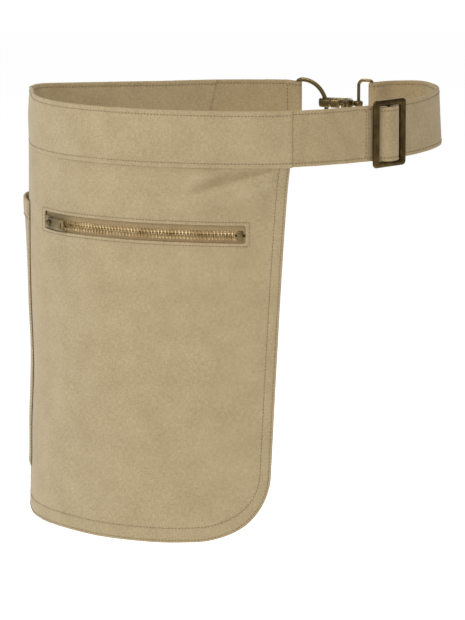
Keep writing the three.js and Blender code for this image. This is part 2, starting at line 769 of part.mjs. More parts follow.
function strap() {
  const layer = STRAP_WALL + CLEAR;
  const bar = { s: ADJUSTER_AT, out: MIDDLE_OUT };
  const wrap = MIDDLE_BAR / 2 + CLEAR + STRAP_WALL / 2;
  const over = wrap + layer;
  const slot = ADJUSTER_WIDTH / 2 - ADJUSTER_BAR + 0.4;
  const left = { s: ADJUSTER_AT - slot, out: 0 };
  const right = { s: ADJUSTER_AT + slot, out: 0 };
  const underRight = { s: ADJUSTER_AT + slot - 0.6, out: -layer };
  const rise = touching(left, bar, over, -1);
  const fall = touching(right, bar, over, 1);
  const enter = touching(underRight, bar, wrap, 1);
  const settle = 16;
  const line = [
    { s: PANEL_FRONT + CLEAR, out: 0 },
    left,
    ...turnAt(bar.s, bar.out, over, rise, fall),
    right,
    { s: RING_BAR_AT - settle, out: 0 },
    { s: RING_BAR_AT, out: 0 },
    ...turnAt(RING_BAR_AT, -RING_FOLD, RING_FOLD, Math.PI / 2, -Math.PI / 2).slice(1, -1),
    { s: RING_BAR_AT, out: -2 * RING_FOLD },
    { s: RING_BAR_AT - settle, out: -layer },
    underRight,
    ...turnAt(bar.s, bar.out, wrap, enter, Math.PI * 1.5, 12),
    { s: bar.s + SEWN_END / 2, out: -2 * layer },
    { s: bar.s + SEWN_END, out: -2 * layer },
  ];
  return ribbonGeometry(line, STRAP_WALL, strapPlace);
}

function strapExtension() {
  const layer = STRAP_WALL + CLEAR;
  const line = [
    { s: -PANEL_BACK - CLEAR, out: 0 },
    { s: D_BAR_AT, out: 0 },
    ...turnAt(D_BAR_AT, D_FOLD, D_FOLD, Math.PI * 1.5, Math.PI / 2).slice(1, -1),
    { s: D_BAR_AT, out: 2 * D_FOLD },
    { s: D_BAR_AT + EXTENSION_RETURN / 2, out: layer },
    { s: D_BAR_AT + EXTENSION_RETURN, out: layer },
  ];
  return ribbonGeometry(line, STRAP_WALL, strapPlace);
}

// Adjuster: a flat frame with a thinner bar across its middle
function adjuster() {
  const height = ADJUSTER_WINDOW + 2 * ADJUSTER_END_BAR;
  const frame = plate(
    roundedRectangle(ADJUSTER_WIDTH, height, ADJUSTER_CORNER),
    ADJUSTER_THICK,
    [roundedRectangle(ADJUSTER_WIDTH - 2 * ADJUSTER_BAR, ADJUSTER_WINDOW, WINDOW_CORNER)],
  ).rotateX(Math.PI / 2);
  const middle = ADJUSTER_THICK / 2 - MIDDLE_BAR_SUNK;
  const bar = new THREE.CylinderGeometry(MIDDLE_BAR / 2, MIDDLE_BAR / 2, ADJUSTER_WINDOW + 2, 12)
    .rotateX(Math.PI / 2)
    .translate(0, -middle, 0);
  return join(frame, bar);
}

// D-ring and rectangular ring, with the strap's fold round their straight bars
const D_HALF = (D_INNER + D_WIRE) / 2;

function dRing() {
  const quarter = Math.PI / 2;
  return closedWire([
    ...arc(D_CORNER, -D_HALF + D_CORNER, D_CORNER, D_CORNER, 3 * quarter, 2 * quarter, 3),
    ...arc(D_CORNER, D_HALF - D_CORNER, D_CORNER, D_CORNER, 2 * quarter, quarter, 3),
    ...arc(D_CORNER, 0, D_DEPTH - D_CORNER, D_HALF, quarter, -quarter, 16).slice(1, -1),
  ], D_WIRE, 8);
}

function rectRing() {
  const top = (STRAP_WIDTH + RING_WIRE) / 2 + RING_CLEAR;
  const side = RING_DEPTH / 2;
  const quarter = Math.PI / 2;
  const [held, free] = [RING_CORNER, RING_FREE_CORNER];
  return closedWire([
    ...arc(side - held, top - held, held, held, 0, quarter, 4),
    ...arc(-side + free, top - free, free, free, quarter, 2 * quarter, 4),
    ...arc(-side + free, -top + free, free, free, 2 * quarter, 3 * quarter, 4),
    ...arc(side - held, -top + held, held, held, 3 * quarter, 4 * quarter, 4),
  ], RING_WIRE, 8);
}

// Snap hook, with its length running along local X from the D-ring to the rectangular ring
const ARM_OUT = (HOOK_WIDTH - HOOK_ARM) / 2;
const HOOK_TOP = HOOK_RAISE + HOOK_THICK / 2;
const D_REACH = D_CORNER + (D_DEPTH - D_CORNER) * Math.sqrt(1 - (HOOK_TOP / D_HALF) ** 2);
const NOSE_AT = D_REACH - D_WIRE / 2 - CLEAR + HOOK_WIDTH / 2 - HOOK_ARM;
const EYE_AT = D_DEPTH + HOOK_LENGTH - EYE_HOLE / 2 + RING_WIRE / 2 + CLEAR;
const BASE_TO = EYE_AT - EYE_HOLE / 2 - EYE_WALL - 1.2;
const BASE_FROM = BASE_TO - HOOK_BASE;
const GATE_PIN_AT = BASE_FROM;
const TIP_AT = NOSE_AT + HOOK_TIP;

function upright(outline, thickness, holes) {
  return plate(outline, thickness, holes).translate(0, 0, -thickness / 2);
}

function hookBody() {
  const outer = HOOK_WIDTH / 2;
  const inner = outer - HOOK_ARM;
  const quarter = Math.PI / 2;
  const arms = upright([
    new THREE.Vector2(TIP_AT, -inner),
    ...arc(NOSE_AT, 0, inner, inner, 3 * quarter, quarter, 10),
    new THREE.Vector2(BASE_FROM - HOOK_CHAMFER, inner),
    new THREE.Vector2(BASE_FROM, inner - HOOK_CHAMFER),
    new THREE.Vector2(BASE_FROM, -ARM_OUT),
    new THREE.Vector2(BASE_TO - HOOK_CHAMFER, -ARM_OUT),
    new THREE.Vector2(BASE_TO, -ARM_OUT / 2),
    new THREE.Vector2(BASE_TO, ARM_OUT / 2),
    new THREE.Vector2(BASE_TO - 2 * HOOK_CHAMFER, outer),
    ...arc(NOSE_AT, 0, outer, outer, quarter, 3 * quarter, 12),
    new THREE.Vector2(TIP_AT, -outer),
  ], HOOK_THICK);
  const cheeks = new THREE.CylinderGeometry(KNUCKLE, KNUCKLE, HOOK_THICK, 14)
    .rotateX(quarter)
    .translate(GATE_PIN_AT, -ARM_OUT, 0);
  const slot = box(
    [GATE_PIN_AT - 2 * KNUCKLE, GATE_PIN_AT + KNUCKLE + GATE_GAP],
    [-HOOK_WIDTH, -ARM_OUT + KNUCKLE + GATE_GAP + CLEAR],
    [-GATE_KNUCKLE / 2 - CLEAR, GATE_KNUCKLE / 2 + CLEAR],
  );
  const boreRadius = STEM / 2 + CLEAR + 0.05;
  const bore = new THREE.CylinderGeometry(boreRadius, boreRadius, 2 * (STEM_DEPTH + GATE_GAP), 12)
    .rotateZ(quarter)
    .translate(BASE_TO, 0, 0);
  const pin = new THREE.CylinderGeometry(GATE_PIN / 2, GATE_PIN / 2, HOOK_THICK - 0.2, 10)
    .rotateX(quarter)
    .translate(GATE_PIN_AT, -ARM_OUT, 0);
  return join(cut(join(arms, cheeks), slot, bore), pin);
}

// Gate: a lever from the pin to the hook's tip, with its origin on the pin
function hookGate() {
  const half = HOOK_ARM / 2;
  const tip = TIP_AT + CLEAR - GATE_PIN_AT;
  const heel = -KNUCKLE - 2 * GATE_GAP;
  const lever = upright([
    new THREE.Vector2(tip, -half),
    new THREE.Vector2(heel, -half),
    new THREE.Vector2(heel, half),
    new THREE.Vector2(tip, half),
  ], HOOK_THICK);
  const tongueHalf = KNUCKLE - 0.2;
  const tongue = upright([
    ...arc(0, 0, tongueHalf, tongueHalf, -Math.PI / 2, Math.PI / 2, 8),
    new THREE.Vector2(heel - 1, half / 2),
    new THREE.Vector2(heel - 1, -half / 2),
  ], GATE_KNUCKLE);
  const hole = new THREE.CylinderGeometry(GATE_PIN / 2 + CLEAR, GATE_PIN / 2 + CLEAR, HOOK_THICK, 10)
    .rotateX(Math.PI / 2);
  return cut(join(lever, tongue), hole);
}

// Swivel eye: a ring round the rectangular ring's bar, with a stem into the hook's base
function swivelEye() {
  const outer = EYE_HOLE / 2 + EYE_WALL;
  const ring = upright(
    arc(EYE_AT, 0, outer, outer, 0, 2 * Math.PI, 20).slice(1),
    HOOK_THICK * 0.75,
    [arc(EYE_AT, 0, EYE_HOLE / 2, EYE_HOLE / 2, 0, 2 * Math.PI, 16).slice(1)],
  );
  const stemFrom = BASE_TO - STEM_DEPTH;
  const stemTo = EYE_AT - EYE_HOLE / 2 - EYE_WALL / 2;
  const stem = new THREE.CylinderGeometry(STEM / 2, STEM / 2, stemTo - stemFrom, 12)
    .rotateZ(Math.PI / 2)
    .translate((stemFrom + stemTo) / 2, 0, 0);
  return join(ring, stem);
}

// Scene graph
function piece(name, geometry, finish) {
  const whole = geometry.index ? geometry : mergeVertices(geometry);
  whole.computeVertexNormals();
  const mesh = new THREE.Mesh(whole, new THREE.MeshStandardMaterial(finish));
  mesh.name = name;
  return mesh;
}

const apron = new THREE.Group();

apron.add(piece('waistband', waistband(), TWILL));
apron.add(piece('panel', panel(), TWILL));
apron.add(piece('hem_facing', hemFacing(), TWILL));
apron.add(piece('patch_pocket', patchPocket(), TWILL));
apron.add(piece('zip_pocket_bag', zipPocketBag(), TWILL));
apron.add(piece('strap', strap(), STRAP_TWILL));
apron.add(piece('strap_extension', strapExtension(), STRAP_TWILL));

for (const [name, side] of [['upper', 1], ['lower', -1]]) {
  apron.add(piece(`zip_tape_${name}`, zipTape(side), TAPE_CLOTH));
  apron.add(piece(`zip_teeth_${name}`, zipTeeth(side), BRIGHT_BRASS));
}
apron.add(piece('zip_stop', zipStop(), OLD_BRASS));

const pullFrame = localFrame(PIN_S, PIN_OUT, CHAIN_Z);
apron.add(piece('zip_slider', zipSlider(pullFrame), OLD_BRASS));
pullFrame.add(piece('zip_pull', zipPull(), OLD_BRASS));
apron.add(pullFrame);

const adjusterFrame = localFrame(ADJUSTER_AT, ADJUSTER_BACK, STRAP_MIDDLE - ADJUSTER_DROP);
adjusterFrame.add(piece('adjuster', adjuster(), DARK_BRASS));
apron.add(adjusterFrame);

const closure = new THREE.Group();
const dBar = onWaist(D_BAR_AT, D_FOLD, STRAP_MIDDLE);
const ringBar = onWaist(RING_BAR_AT, -RING_FOLD, STRAP_MIDDLE);
closure.position.copy(dBar);
closure.rotation.z = Math.atan2(ringBar.y - dBar.y, ringBar.x - dBar.x);
closure.add(piece('d_ring', dRing(), OLD_BRASS));
const ring = piece('rect_ring', rectRing(), OLD_BRASS);
ring.position.x = CLOSURE_REACH - RING_DEPTH / 2;
closure.add(ring);
const hook = new THREE.Group();
hook.position.z = HOOK_RAISE;
hook.add(piece('hook_body', hookBody(), OLD_BRASS));
const gate = piece('hook_gate', hookGate(), OLD_BRASS);
gate.position.set(GATE_PIN_AT, -ARM_OUT, 0);
hook.add(gate);
hook.add(piece('swivel_eye', swivelEye(), OLD_BRASS));
closure.add(hook);
apron.add(closure);

export default apron;
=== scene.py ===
# Waist apron of khaki cotton twill in its worn form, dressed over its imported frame.
# Lengths are in millimetres until a mesh is made, and the meshes are in metres.
import math
import bpy
import numpy as np
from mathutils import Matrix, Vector, kdtree
from mathutils.geometry import delaunay_2d_cdt


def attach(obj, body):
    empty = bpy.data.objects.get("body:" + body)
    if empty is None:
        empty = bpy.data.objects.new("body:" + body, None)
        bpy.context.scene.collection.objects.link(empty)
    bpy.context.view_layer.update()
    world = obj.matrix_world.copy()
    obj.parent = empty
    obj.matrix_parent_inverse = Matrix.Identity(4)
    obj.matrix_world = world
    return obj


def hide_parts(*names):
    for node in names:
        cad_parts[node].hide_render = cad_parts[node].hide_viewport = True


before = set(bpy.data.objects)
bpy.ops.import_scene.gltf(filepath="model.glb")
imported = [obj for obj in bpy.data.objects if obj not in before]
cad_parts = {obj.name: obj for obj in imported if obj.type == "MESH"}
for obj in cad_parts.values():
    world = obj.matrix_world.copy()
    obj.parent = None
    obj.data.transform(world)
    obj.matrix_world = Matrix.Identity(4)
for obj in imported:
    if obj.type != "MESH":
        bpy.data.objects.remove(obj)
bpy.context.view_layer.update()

MM = 0.001
# Gap that is kept between pieces that lie against each other
CLEAR = 0.35

# Camera: square on to the near side, a little from above, through a long lens
CAMERA_TILT = 10.612
camera = bpy.data.objects.new("camera", bpy.data.cameras.new("camera"))
bpy.context.scene.collection.objects.link(camera)
bpy.context.scene.camera = camera
camera.location = (0, -3.6700, 0.5149)
camera.rotation_euler = (math.radians(90 - CAMERA_TILT), 0, 0)
camera.data.sensor_width = 36
camera.data.lens = 236.73

# Waist line seen from above, as shares of half the loop's width and depth, from the left turn
LOOP_WIDTH, LOOP_DEPTH = 373, 216
WAIST_LINE = [
    ("left turn", -1.0, 0.38),
    ("left front", -0.955, -0.02),
    ("zip start", -0.816, -0.423),
    ("front left", -0.52, -0.775),
    ("front middle left", -0.23, -0.935),
    ("front middle", 0.06, -1.0),
    ("band end", 0.3, -0.955),
    ("front right", 0.507, -0.79),
    ("adjuster", 0.735, -0.525),
    ("right front", 0.905, -0.16),
    ("right turn", 1.005, 0.38),
    ("right back", 0.99, 0.7),
    ("back right corner", 0.935, 0.885),
    ("back right", 0.81, 0.895),
    ("ring", 0.69, 0.815),
    ("fold", 0.32, 0.955),
    ("back middle", 0.06, 1.0),
    ("back left", -0.43, 0.92),
    ("back far left", -0.8, 0.83),
    ("back left corner", -0.955, 0.77),
    ("left back", -0.995, 0.6),
]

# Sizes of the cloth, as the solids have them
BAND_TOP, BAND_BOTTOM, BAND_WALL = 25.5, -25.5, 2.6
PANEL_FRONT, PANEL_BACK, PANEL_DROP, PANEL_WALL = 316, 208, 340, 1.4
PANEL_BOTTOM = BAND_BOTTOM - PANEL_DROP
EDGE_START, EDGE_TAPER, PANEL_FLARE, CORNER_RADIUS = 1.6, 20, 2.4, 62
HEM_WIDTH, HEM_WALL = 10, 1.0
STRAP_WIDTH, STRAP_WALL, STRAP_LEAN = 50, 1.6, 4
STRAP_MIDDLE = BAND_TOP - STRAP_WIDTH / 2
EDGE_SETTLE, EXTENSION, EXTENSION_RETURN, SEWN_END = 12, 80, 30, 20
ZIP_FROM_EDGE, ZIP_LENGTH, ZIP_HALF_HEIGHT, ZIP_BELOW_BAND = 41.5, 208, 8, 59
PATCH_START, PATCH_WIDTH, PATCH_BELOW_BAND, PATCH_DROP = 20, 172, 50, 248
PATCH_WALL, PATCH_RIM, RIM_EXTRA, MOUTH_SLACK, LOW_SLACK = 1.3, 18, 0.9, 10, 0.8
BAG_DROP, BAG_MARGIN, BAG_WALL, BAG_DEPTH = 150, 12, 1.0, 4

# Sizes of the hardware
ADJUSTER_AT = PANEL_FRONT + 99
ADJUSTER_WIDTH, ADJUSTER_WINDOW, ADJUSTER_BAR, ADJUSTER_END_BAR = 40.4, 49.6, 7.1, 5.6
ADJUSTER_DROP, ADJUSTER_THICK, ADJUSTER_CORNER = 1.4, 3, 4
MIDDLE_BAR, MIDDLE_BAR_SUNK = 3.2, 1.2
D_WIRE, D_DEPTH, D_INNER, D_CORNER = 4, 28, 47.6, 3.2
RING_WIRE, RING_DEPTH, RING_CORNER, RING_FREE_CORNER, RING_CLEAR = 3, 13.1, 3, 5, 0.7
HOOK_LENGTH, HOOK_RAISE, HOOK_WIDTH, HOOK_ARM, HOOK_THICK = 31, 5.2, 18, 3.4, 7.2
HOOK_BASE, HOOK_CHAMFER, HOOK_TIP, STEM, STEM_DEPTH = 7, 1.5, 4, 3, 3
GATE_PIN, GATE_KNUCKLE, KNUCKLE, GATE_GAP = 1.8, 2, 2.3, 0.6
EYE_HOLE, EYE_WALL = 4.2, 2.2
TOOTH_PITCH, CHAIN_WIDTH, CHAIN_DROP, TOOTH_THICK = 3.2, 8.2, 1.3, 2.6
TAPE_WIDTH, TAPE_WALL, SLIDER_PLATE = 9, 1.0, 1.2
PULL_LENGTH, PULL_WIDTH, PULL_THICK, PULL_PIN = 27, 10.5, 1.4, 1.7
STOP_LENGTH, STOP_PROUD = 6, 0.4


def as_points(*values):
    """Points from numbers or arrays, one for each direction."""
    return np.stack(np.broadcast_arrays(*values), axis=-1)


def lengths_along(line):
    """Length from a line's start to each of its points."""
    return np.concatenate([[0], np.cumsum(np.linalg.norm(np.diff(line, axis=0), axis=1))])


def smooth(share):
    """An even climb from 0 to 1 that starts and ends softly."""
    t = np.clip(share, 0, 1)
    return t * t * (3 - 2 * t)


def hump(off, spread):
    """A soft hump one unit high, by how far off its middle a place is."""
    return np.exp(-(off / spread) ** 2)


def swell(a, b, size, seed):
    """Soft hills and hollows about one unit high, with about the given size between them."""
    chance = np.random.default_rng(seed)
    waves = 7
    total = 0
    for _ in range(waves):
        angle, phase = chance.uniform(0, 2 * math.pi, 2)
        length = size * chance.uniform(0.7, 1.7)
        across = a * math.cos(angle) + b * math.sin(angle)
        total = total + np.sin(across * 2 * math.pi / length + phase)
    return total / 3


# Waist line: dense points on the closed curve through its places, with their length along it
def waist_table(steps=160):
    knots = np.array([(a * LOOP_WIDTH / 2, b * LOOP_DEPTH / 2) for _, a, b in WAIST_LINE])
    share = np.linspace(0, 1, steps, endpoint=False)[:, None]
    spans = []
    for i in range(len(knots)):
        p, q, r, t = (knots[(i + k) % len(knots)] for k in (-1, 0, 1, 2))
        before, here, after = (np.sqrt(np.linalg.norm(b - a)) for a, b in ((p, q), (q, r), (r, t)))
        leave = ((q - p) / before - (r - p) / (before + here) + (r - q) / here) * here
        reach = ((r - q) / here - (t - q) / (here + after) + (t - r) / after) * here
        spans.append(
            q + leave * share
            + (3 * (r - q) - 2 * leave - reach) * share ** 2
            + (2 * (q - r) + leave + reach) * share ** 3
        )
    line = np.vstack(spans)
    line = np.vstack([line, line[:1]])
    slope = np.roll(line[:-1], -1, axis=0) - np.roll(line[:-1], 1, axis=0)
    slope /= np.linalg.norm(slope, axis=1)[:, None]
    return lengths_along(line), line, np.vstack([slope, slope[:1]])


WAIST_ALONG, WAIST_POINTS, WAIST_SLOPE = waist_table()
WAIST_LENGTH = WAIST_ALONG[-1]


def waist_at(s):
    """Place and direction of the waist line at a length along it."""
    s = np.asarray(s, float) % WAIST_LENGTH
    columns = (*WAIST_POINTS.T, *WAIST_SLOPE.T)
    return [np.interp(s, WAIST_ALONG, column) for column in columns]


def on_waist(s, out, z):
    x, y, tx, ty = waist_at(s)
    return as_points(x + ty * out, y - tx * out, z)


# Soft folds of the panel, in millimetres back from its near edge and down from the waistband
FOLDS = [
    # name, from (back, down), to (back, down), rise, spread
    ("pulled ridge", (17, 8), (104.3, 36), 5.2, 6.5),
    ("pulled hollow", (22, -3), (92, 21), -4.4, 6),
    ("short ridge", (68, 6), (98, 18), 3.0, 5),
    ("hollow by the hem", (22, 16), (20, 80), -1.6, 5),
    ("long ridge", (30, 60), (120, 150), 0.9, 20),
    ("long hollow", (24, 95), (110, 190), -0.9, 18),
    ("low ridge", (60, 230), (190, 290), 1.1, 22),
    ("low hollow", (40, 265), (150, 330), -1.0, 18),
    ("side hollow", (230, 70), (262, 260), -1.1, 16),
]
ZIP_Z = BAND_BOTTOM - ZIP_BELOW_BAND
ZIP_FROM = PANEL_FRONT - ZIP_FROM_EDGE - ZIP_LENGTH
ZIP_TO = ZIP_FROM + ZIP_LENGTH

# How the panel hangs: uneven below the zip, and drawn in at the left turn
UNEVEN_RISE, UNEVEN_APART, UNEVEN_FROM, UNEVEN_OVER = 0.6, 120, 90, 80
DRAWN_IN, DRAWN_AT, DRAWN_SPREAD = 3.1, 208, 60
FOOT_IN, FOOT_IN_FROM, FOOT_IN_OVER = 0.7, 250, 40
SIDE_AT, SIDE_SPREAD = -5, 40
# Its lower edge is raised by the near corner and let down behind that
FOOT_RISE, FOOT_RISE_AT, FOOT_RISE_SPREAD = 1.6, 62, 20
FOOT_SAG, FOOT_SAG_AT, FOOT_SAG_SPREAD = 2.4, 150, 55


def drape(s, z):
    """How far the panel's cloth stands out, by its folds and by how it hangs."""
    back, down = PANEL_FRONT - s, BAND_BOTTOM - z
    # The folds fade by the band's seam, by the near hem and by the zip
    seam = smooth(down / (0.02 * PANEL_DROP))
    hem = smooth((back - HEM_WIDTH - 2) / 8)
    zip_near = smooth((np.abs(z - ZIP_Z) - ZIP_HALF_HEIGHT - 4) / 14)
    out = 0
    for _, start, end, rise, spread in FOLDS:
        run = np.subtract(end, start)
        length = np.linalg.norm(run)
        across, fall = run / length
        px, py = back - start[0], down - start[1]
        share = (px * across + py * fall) / length
        ends = smooth((share + 0.2) / 0.3) * smooth((1.15 - share) / 0.5)
        out = out + rise * ends * hump(py * across - px * fall, spread)
    uneven = UNEVEN_RISE * swell(s, z, UNEVEN_APART, seed=3) * smooth((down - UNEVEN_FROM) / UNEVEN_OVER)
    drawn = DRAWN_IN * hump(down - DRAWN_AT, DRAWN_SPREAD)
    drawn = drawn + FOOT_IN * smooth((down - FOOT_IN_FROM) / FOOT_IN_OVER)
    return out * seam * hem * zip_near + uneven - drawn * hump(s - SIDE_AT, SIDE_SPREAD)


def swing(s, z):
    """How far the lower half of the cloth is raised from level, or let down where it is below nought."""
    back, down = PANEL_FRONT - s, BAND_BOTTOM - z
    half = PANEL_DROP / 2
    raised = FOOT_RISE * hump(back - FOOT_RISE_AT, FOOT_RISE_SPREAD)
    sag = FOOT_SAG * np.exp(-((back - FOOT_SAG_AT) / FOOT_SAG_SPREAD) ** 4)
    return smooth((down - half) / half) * (raised - sag)


def on_panel(s, z, out):
    flare = PANEL_FLARE * np.maximum(BAND_BOTTOM - z, 0) / PANEL_DROP
    return on_waist(s, out + flare + drape(s, z), z + swing(s, z))


# Mesh helpers
def make(name, part, finish, body="apron", replaces=()):
    """An object from a part, which is its points, its faces and their place on the flat cloth."""
    points, faces, uv = part
    material, slot = finish
    mesh = bpy.data.meshes.new(name)
    mesh.from_pydata((np.asarray(points) * MM).tolist(), [], faces)
    mesh.polygons.foreach_set("use_smooth", [True] * len(mesh.polygons))
    layer = mesh.uv_layers.new(name="cloth")
    corner = np.zeros(len(mesh.loops), int)
    mesh.loops.foreach_get("vertex_index", corner)
    layer.data.foreach_set("uv", (np.asarray(uv)[corner] * MM).ravel())
    mesh.materials.append(material)
    made = bpy.data.objects.new(name, mesh)
    bpy.context.scene.collection.objects.link(made)
    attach(made, body)
    if replaces:
        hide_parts(*replaces)
    return made


def gathered(*parts):
    """Several (points, faces, uv) parts as one."""
    points, faces, uv, start = [], [], [], 0
    for part_points, part_faces, part_uv in parts:
        points.append(part_points)
        uv.append(part_uv)
        faces.extend([tuple(i + start for i in face) for face in part_faces])
        start += len(part_points)
    return np.vstack(points), faces, np.vstack(uv)


def fine(line, spacing, closed=False):
    """The same line with no step longer than the spacing."""
    line = np.asarray(line, float)
    ends = np.roll(line, -1, axis=0) if closed else line[1:]
    out = []
    for a, b in zip(line, ends):
        steps = max(math.ceil(np.linalg.norm(b - a) / spacing), 1)
        out.append(a + (b - a) * np.arange(steps)[:, None] / steps)
    if not closed:
        out.append(line[-1:])
    return np.vstack(out)


def leftward(line, closed):
    """Direction to the left at each point of a line, longer at a corner so that a band keeps its width."""
    step = np.diff(np.vstack([line, line[:1]]) if closed else line, axis=0)
    step /= np.maximum(np.linalg.norm(step, axis=1), 1e-9)[:, None]
    left = np.stack([-step[:, 1], step[:, 0]], axis=1)
    if closed:
        before, after = np.roll(left, 1, axis=0), left
    else:
        before, after = np.vstack([left[:1], left]), np.vstack([left, left[-1:]])
    mean = before + after
    mean /= np.maximum(np.linalg.norm(mean, axis=1), 1e-9)[:, None]
    return mean / np.maximum((mean * after).sum(axis=1), 0.5)[:, None]


def inside(points, loops):
    """Which flat points lie inside an odd number of the loops."""
    odd = np.zeros(len(points), bool)
    x, y = points.T
    for loop in loops:
        for (ax, ay), (bx, by) in zip(loop, np.roll(loop, -1, axis=0)):
            if ay != by:
                odd ^= ((ay > y) != (by > y)) & (x < (bx - ax) * (y - ay) / (by - ay) + ax)
    return odd


def gap_to(points, marks):
    """Distance from each flat point to the nearest mark."""
    tree = kdtree.KDTree(len(marks))
    for i, (x, y) in enumerate(marks):
        tree.insert((x, y, 0), i)
    tree.balance()
    return np.array([tree.find((x, y, 0))[2] for x, y in points])


# A wall's mesh is finer along a row of stitches, with points at these distances beside it
BESIDE_ROW = (-0.9, -0.4, 0, 0.4, 0.9)
ROW_CLEAR, ROW_FROM_RIM, ROW_STEP = 1.7, 0.35, 0.33
# Steps in which a wall's edge is rounded from its front to its back
EDGE_STEPS = 4


def slab(loops, place, roll, spacing=2.6, rows=()):
    """A closed wall with rounded edges. Its outline is the first loop, and the other loops are holes.
    The inside of each loop is on its left. Place gives a point for a side from -1, the back, to 1."""
    loops = [fine(loop, spacing, closed=True) for loop in loops]
    lefts = [leftward(loop, True) for loop in loops]
    rims = [loop + left * roll for loop, left in zip(loops, lefts)]
    low, high = rims[0].min(axis=0), rims[0].max(axis=0)
    across = np.arange(low[0], high[0], spacing)
    up = np.arange(low[1], high[1], spacing * 0.9)
    grid = [(x + (j % 2) * spacing / 2, z) for j, z in enumerate(up) for x in across]
    grid = np.array(grid).reshape(-1, 2)
    grid = grid[inside(grid, rims)]
    rim_points = np.vstack(rims)
    if len(grid):
        grid = grid[gap_to(grid, rim_points) > spacing * 0.6]
    if rows and len(grid):
        lines = [fine(row, spacing * 0.8) for row in rows]
        grid = grid[gap_to(grid, np.vstack(lines)) > ROW_CLEAR]
        beside = np.vstack([line + leftward(line, False) * off for line in lines for off in BESIDE_ROW])
        beside = beside[inside(beside, rims)]
        beside = beside[gap_to(beside, rim_points) > ROW_FROM_RIM]
        _, first = np.unique(np.round(beside / ROW_STEP), axis=0, return_index=True)
        grid = np.vstack([grid, beside[np.sort(first)]])
    flat = np.vstack([rim_points, grid]) if len(grid) else rim_points
    edges, start = [], 0
    for rim in rims:
        count = len(rim)
        edges += [(start + i, start + (i + 1) % count) for i in range(count)]
        start += count
    _, _, triangles, origins, _, _ = delaunay_2d_cdt([Vector(p) for p in flat], edges, [], 0, 1e-7)
    back_to = [origin[0] for origin in origins]
    triangles = np.array([[back_to[i] for i in t] for t in triangles])
    triangles = triangles[inside(flat[triangles].mean(axis=1), rims)]
    corners = flat[triangles]
    first, second = corners[:, 1] - corners[:, 0], corners[:, 2] - corners[:, 0]
    turned = first[:, 0] * second[:, 1] - first[:, 1] * second[:, 0] < 0
    triangles[turned] = triangles[turned][:, ::-1]
    count = len(flat)
    points = [place(flat[:, 0], flat[:, 1], 1.0), place(flat[:, 0], flat[:, 1], -1.0)]
    uv = [flat, flat]
    faces = [tuple(t) for t in triangles.tolist()]
    faces += [(c + count, b + count, a + count) for a, b, c in triangles.tolist()]
    start, total = 0, 2 * count
    for loop, left in zip(loops, lefts):
        n = len(loop)
        rows_of = [[start + i for i in range(n)]]
        for k in range(1, EDGE_STEPS):
            angle = math.pi * k / EDGE_STEPS
            at = loop + left * roll * (1 - math.sin(angle))
            points.append(place(at[:, 0], at[:, 1], math.cos(angle)))
            uv.append(at)
            rows_of.append([total + i for i in range(n)])
            total += n
        rows_of.append([count + start + i for i in range(n)])
        for near, far in zip(rows_of, rows_of[1:]):
            faces += [(near[i], far[i], far[(i + 1) % n], near[(i + 1) % n]) for i in range(n)]
        start += n
    return np.vstack(points), faces, np.vstack(uv)


def skin(rings, sides, closed=False, start=0):
    """Faces round a pipe of rings that have so many sides, with a cap at each end unless it is closed."""
    faces = []
    for i in range(rings if closed else rings - 1):
        a, b = start + i * sides, start + (i + 1) % rings * sides
        faces += [(a + j, a + (j + 1) % sides, b + (j + 1) % sides, b + j) for j in range(sides)]
    if not closed:
        last = start + (rings - 1) * sides
        faces += [tuple(range(start + sides - 1, start - 1, -1)), tuple(range(last, last + sides))]
    return faces


def tube(line, radius, up, closed=False, sides=14, squash=1.0):
    """A round wire along a flat line, with up square to its plane."""
    line, up = np.asarray(line, float), np.asarray(up, float)
    if closed:
        slope = np.roll(line, -1, axis=0) - np.roll(line, 1, axis=0)
    else:
        slope = np.gradient(line, axis=0)
    slope /= np.linalg.norm(slope, axis=1)[:, None]
    side = np.cross(up, slope)
    side /= np.linalg.norm(side, axis=1)[:, None]
    radius = np.broadcast_to(radius, len(line))[:, None, None]
    angle = (2 * np.pi * np.arange(sides) / sides)[None, :, None]
    ring = side[:, None, :] * np.cos(angle) + up * (np.sin(angle) * squash)
    points = (line[:, None, :] + ring * radius).reshape(-1, 3)
    return points, skin(len(line), sides, closed), np.zeros((len(points), 2))


def arc(cx, cy, rx, ry, start, end, steps):
    angle = np.radians(np.linspace(start, end, steps + 1))
    return np.stack([cx + rx * np.cos(angle), cy + ry * np.sin(angle)], axis=1)


def turn_at(cx, cy, radius, start, end, steps=16):
    """Part of a circle, between two angles in degrees."""
    return arc(cx, cy, radius, radius, start, end, steps)


def rounded(width, height, radius, steps=6):
    """A rectangle with round corners, with its inside on the left."""
    x, y = width / 2 - radius, height / 2 - radius
    middles = [(x, y, 0), (-x, y, 90), (-x, -y, 180), (x, -y, 270)]
    return np.vstack([turn_at(cx, cy, radius, a, a + 90, steps) for cx, cy, a in middles])


def box_corners(left, low, right, high):
    return [(left, low), (right, low), (right, high), (left, high)]


# Stitches: rows of short threads that lie on the cloth, each in a shallow groove
STITCH_PITCH, STITCH_LENGTH, THREAD = 3.0, 1.9, 0.33
GROOVE_SPREAD, PUCKER_DEPTH, PUCKER_APART, PUCKER_SPREAD = 0.8, 0.09, 9, 3.2


def groove(s, z, rows, depth=0.22):
    """How deep the stitching pulls the cloth in, with a slow pucker along the row."""
    flat = as_points(s, z).reshape(-1, 2)
    marks = np.vstack([fine(row, 0.7) for row in rows])
    near = gap_to(flat, marks).reshape(np.shape(s))
    pucker = 1 + 0.5 * swell(s, z, PUCKER_APART, seed=11)
    return depth * hump(near, GROOVE_SPREAD) + PUCKER_DEPTH * pucker * hump(near, PUCKER_SPREAD)


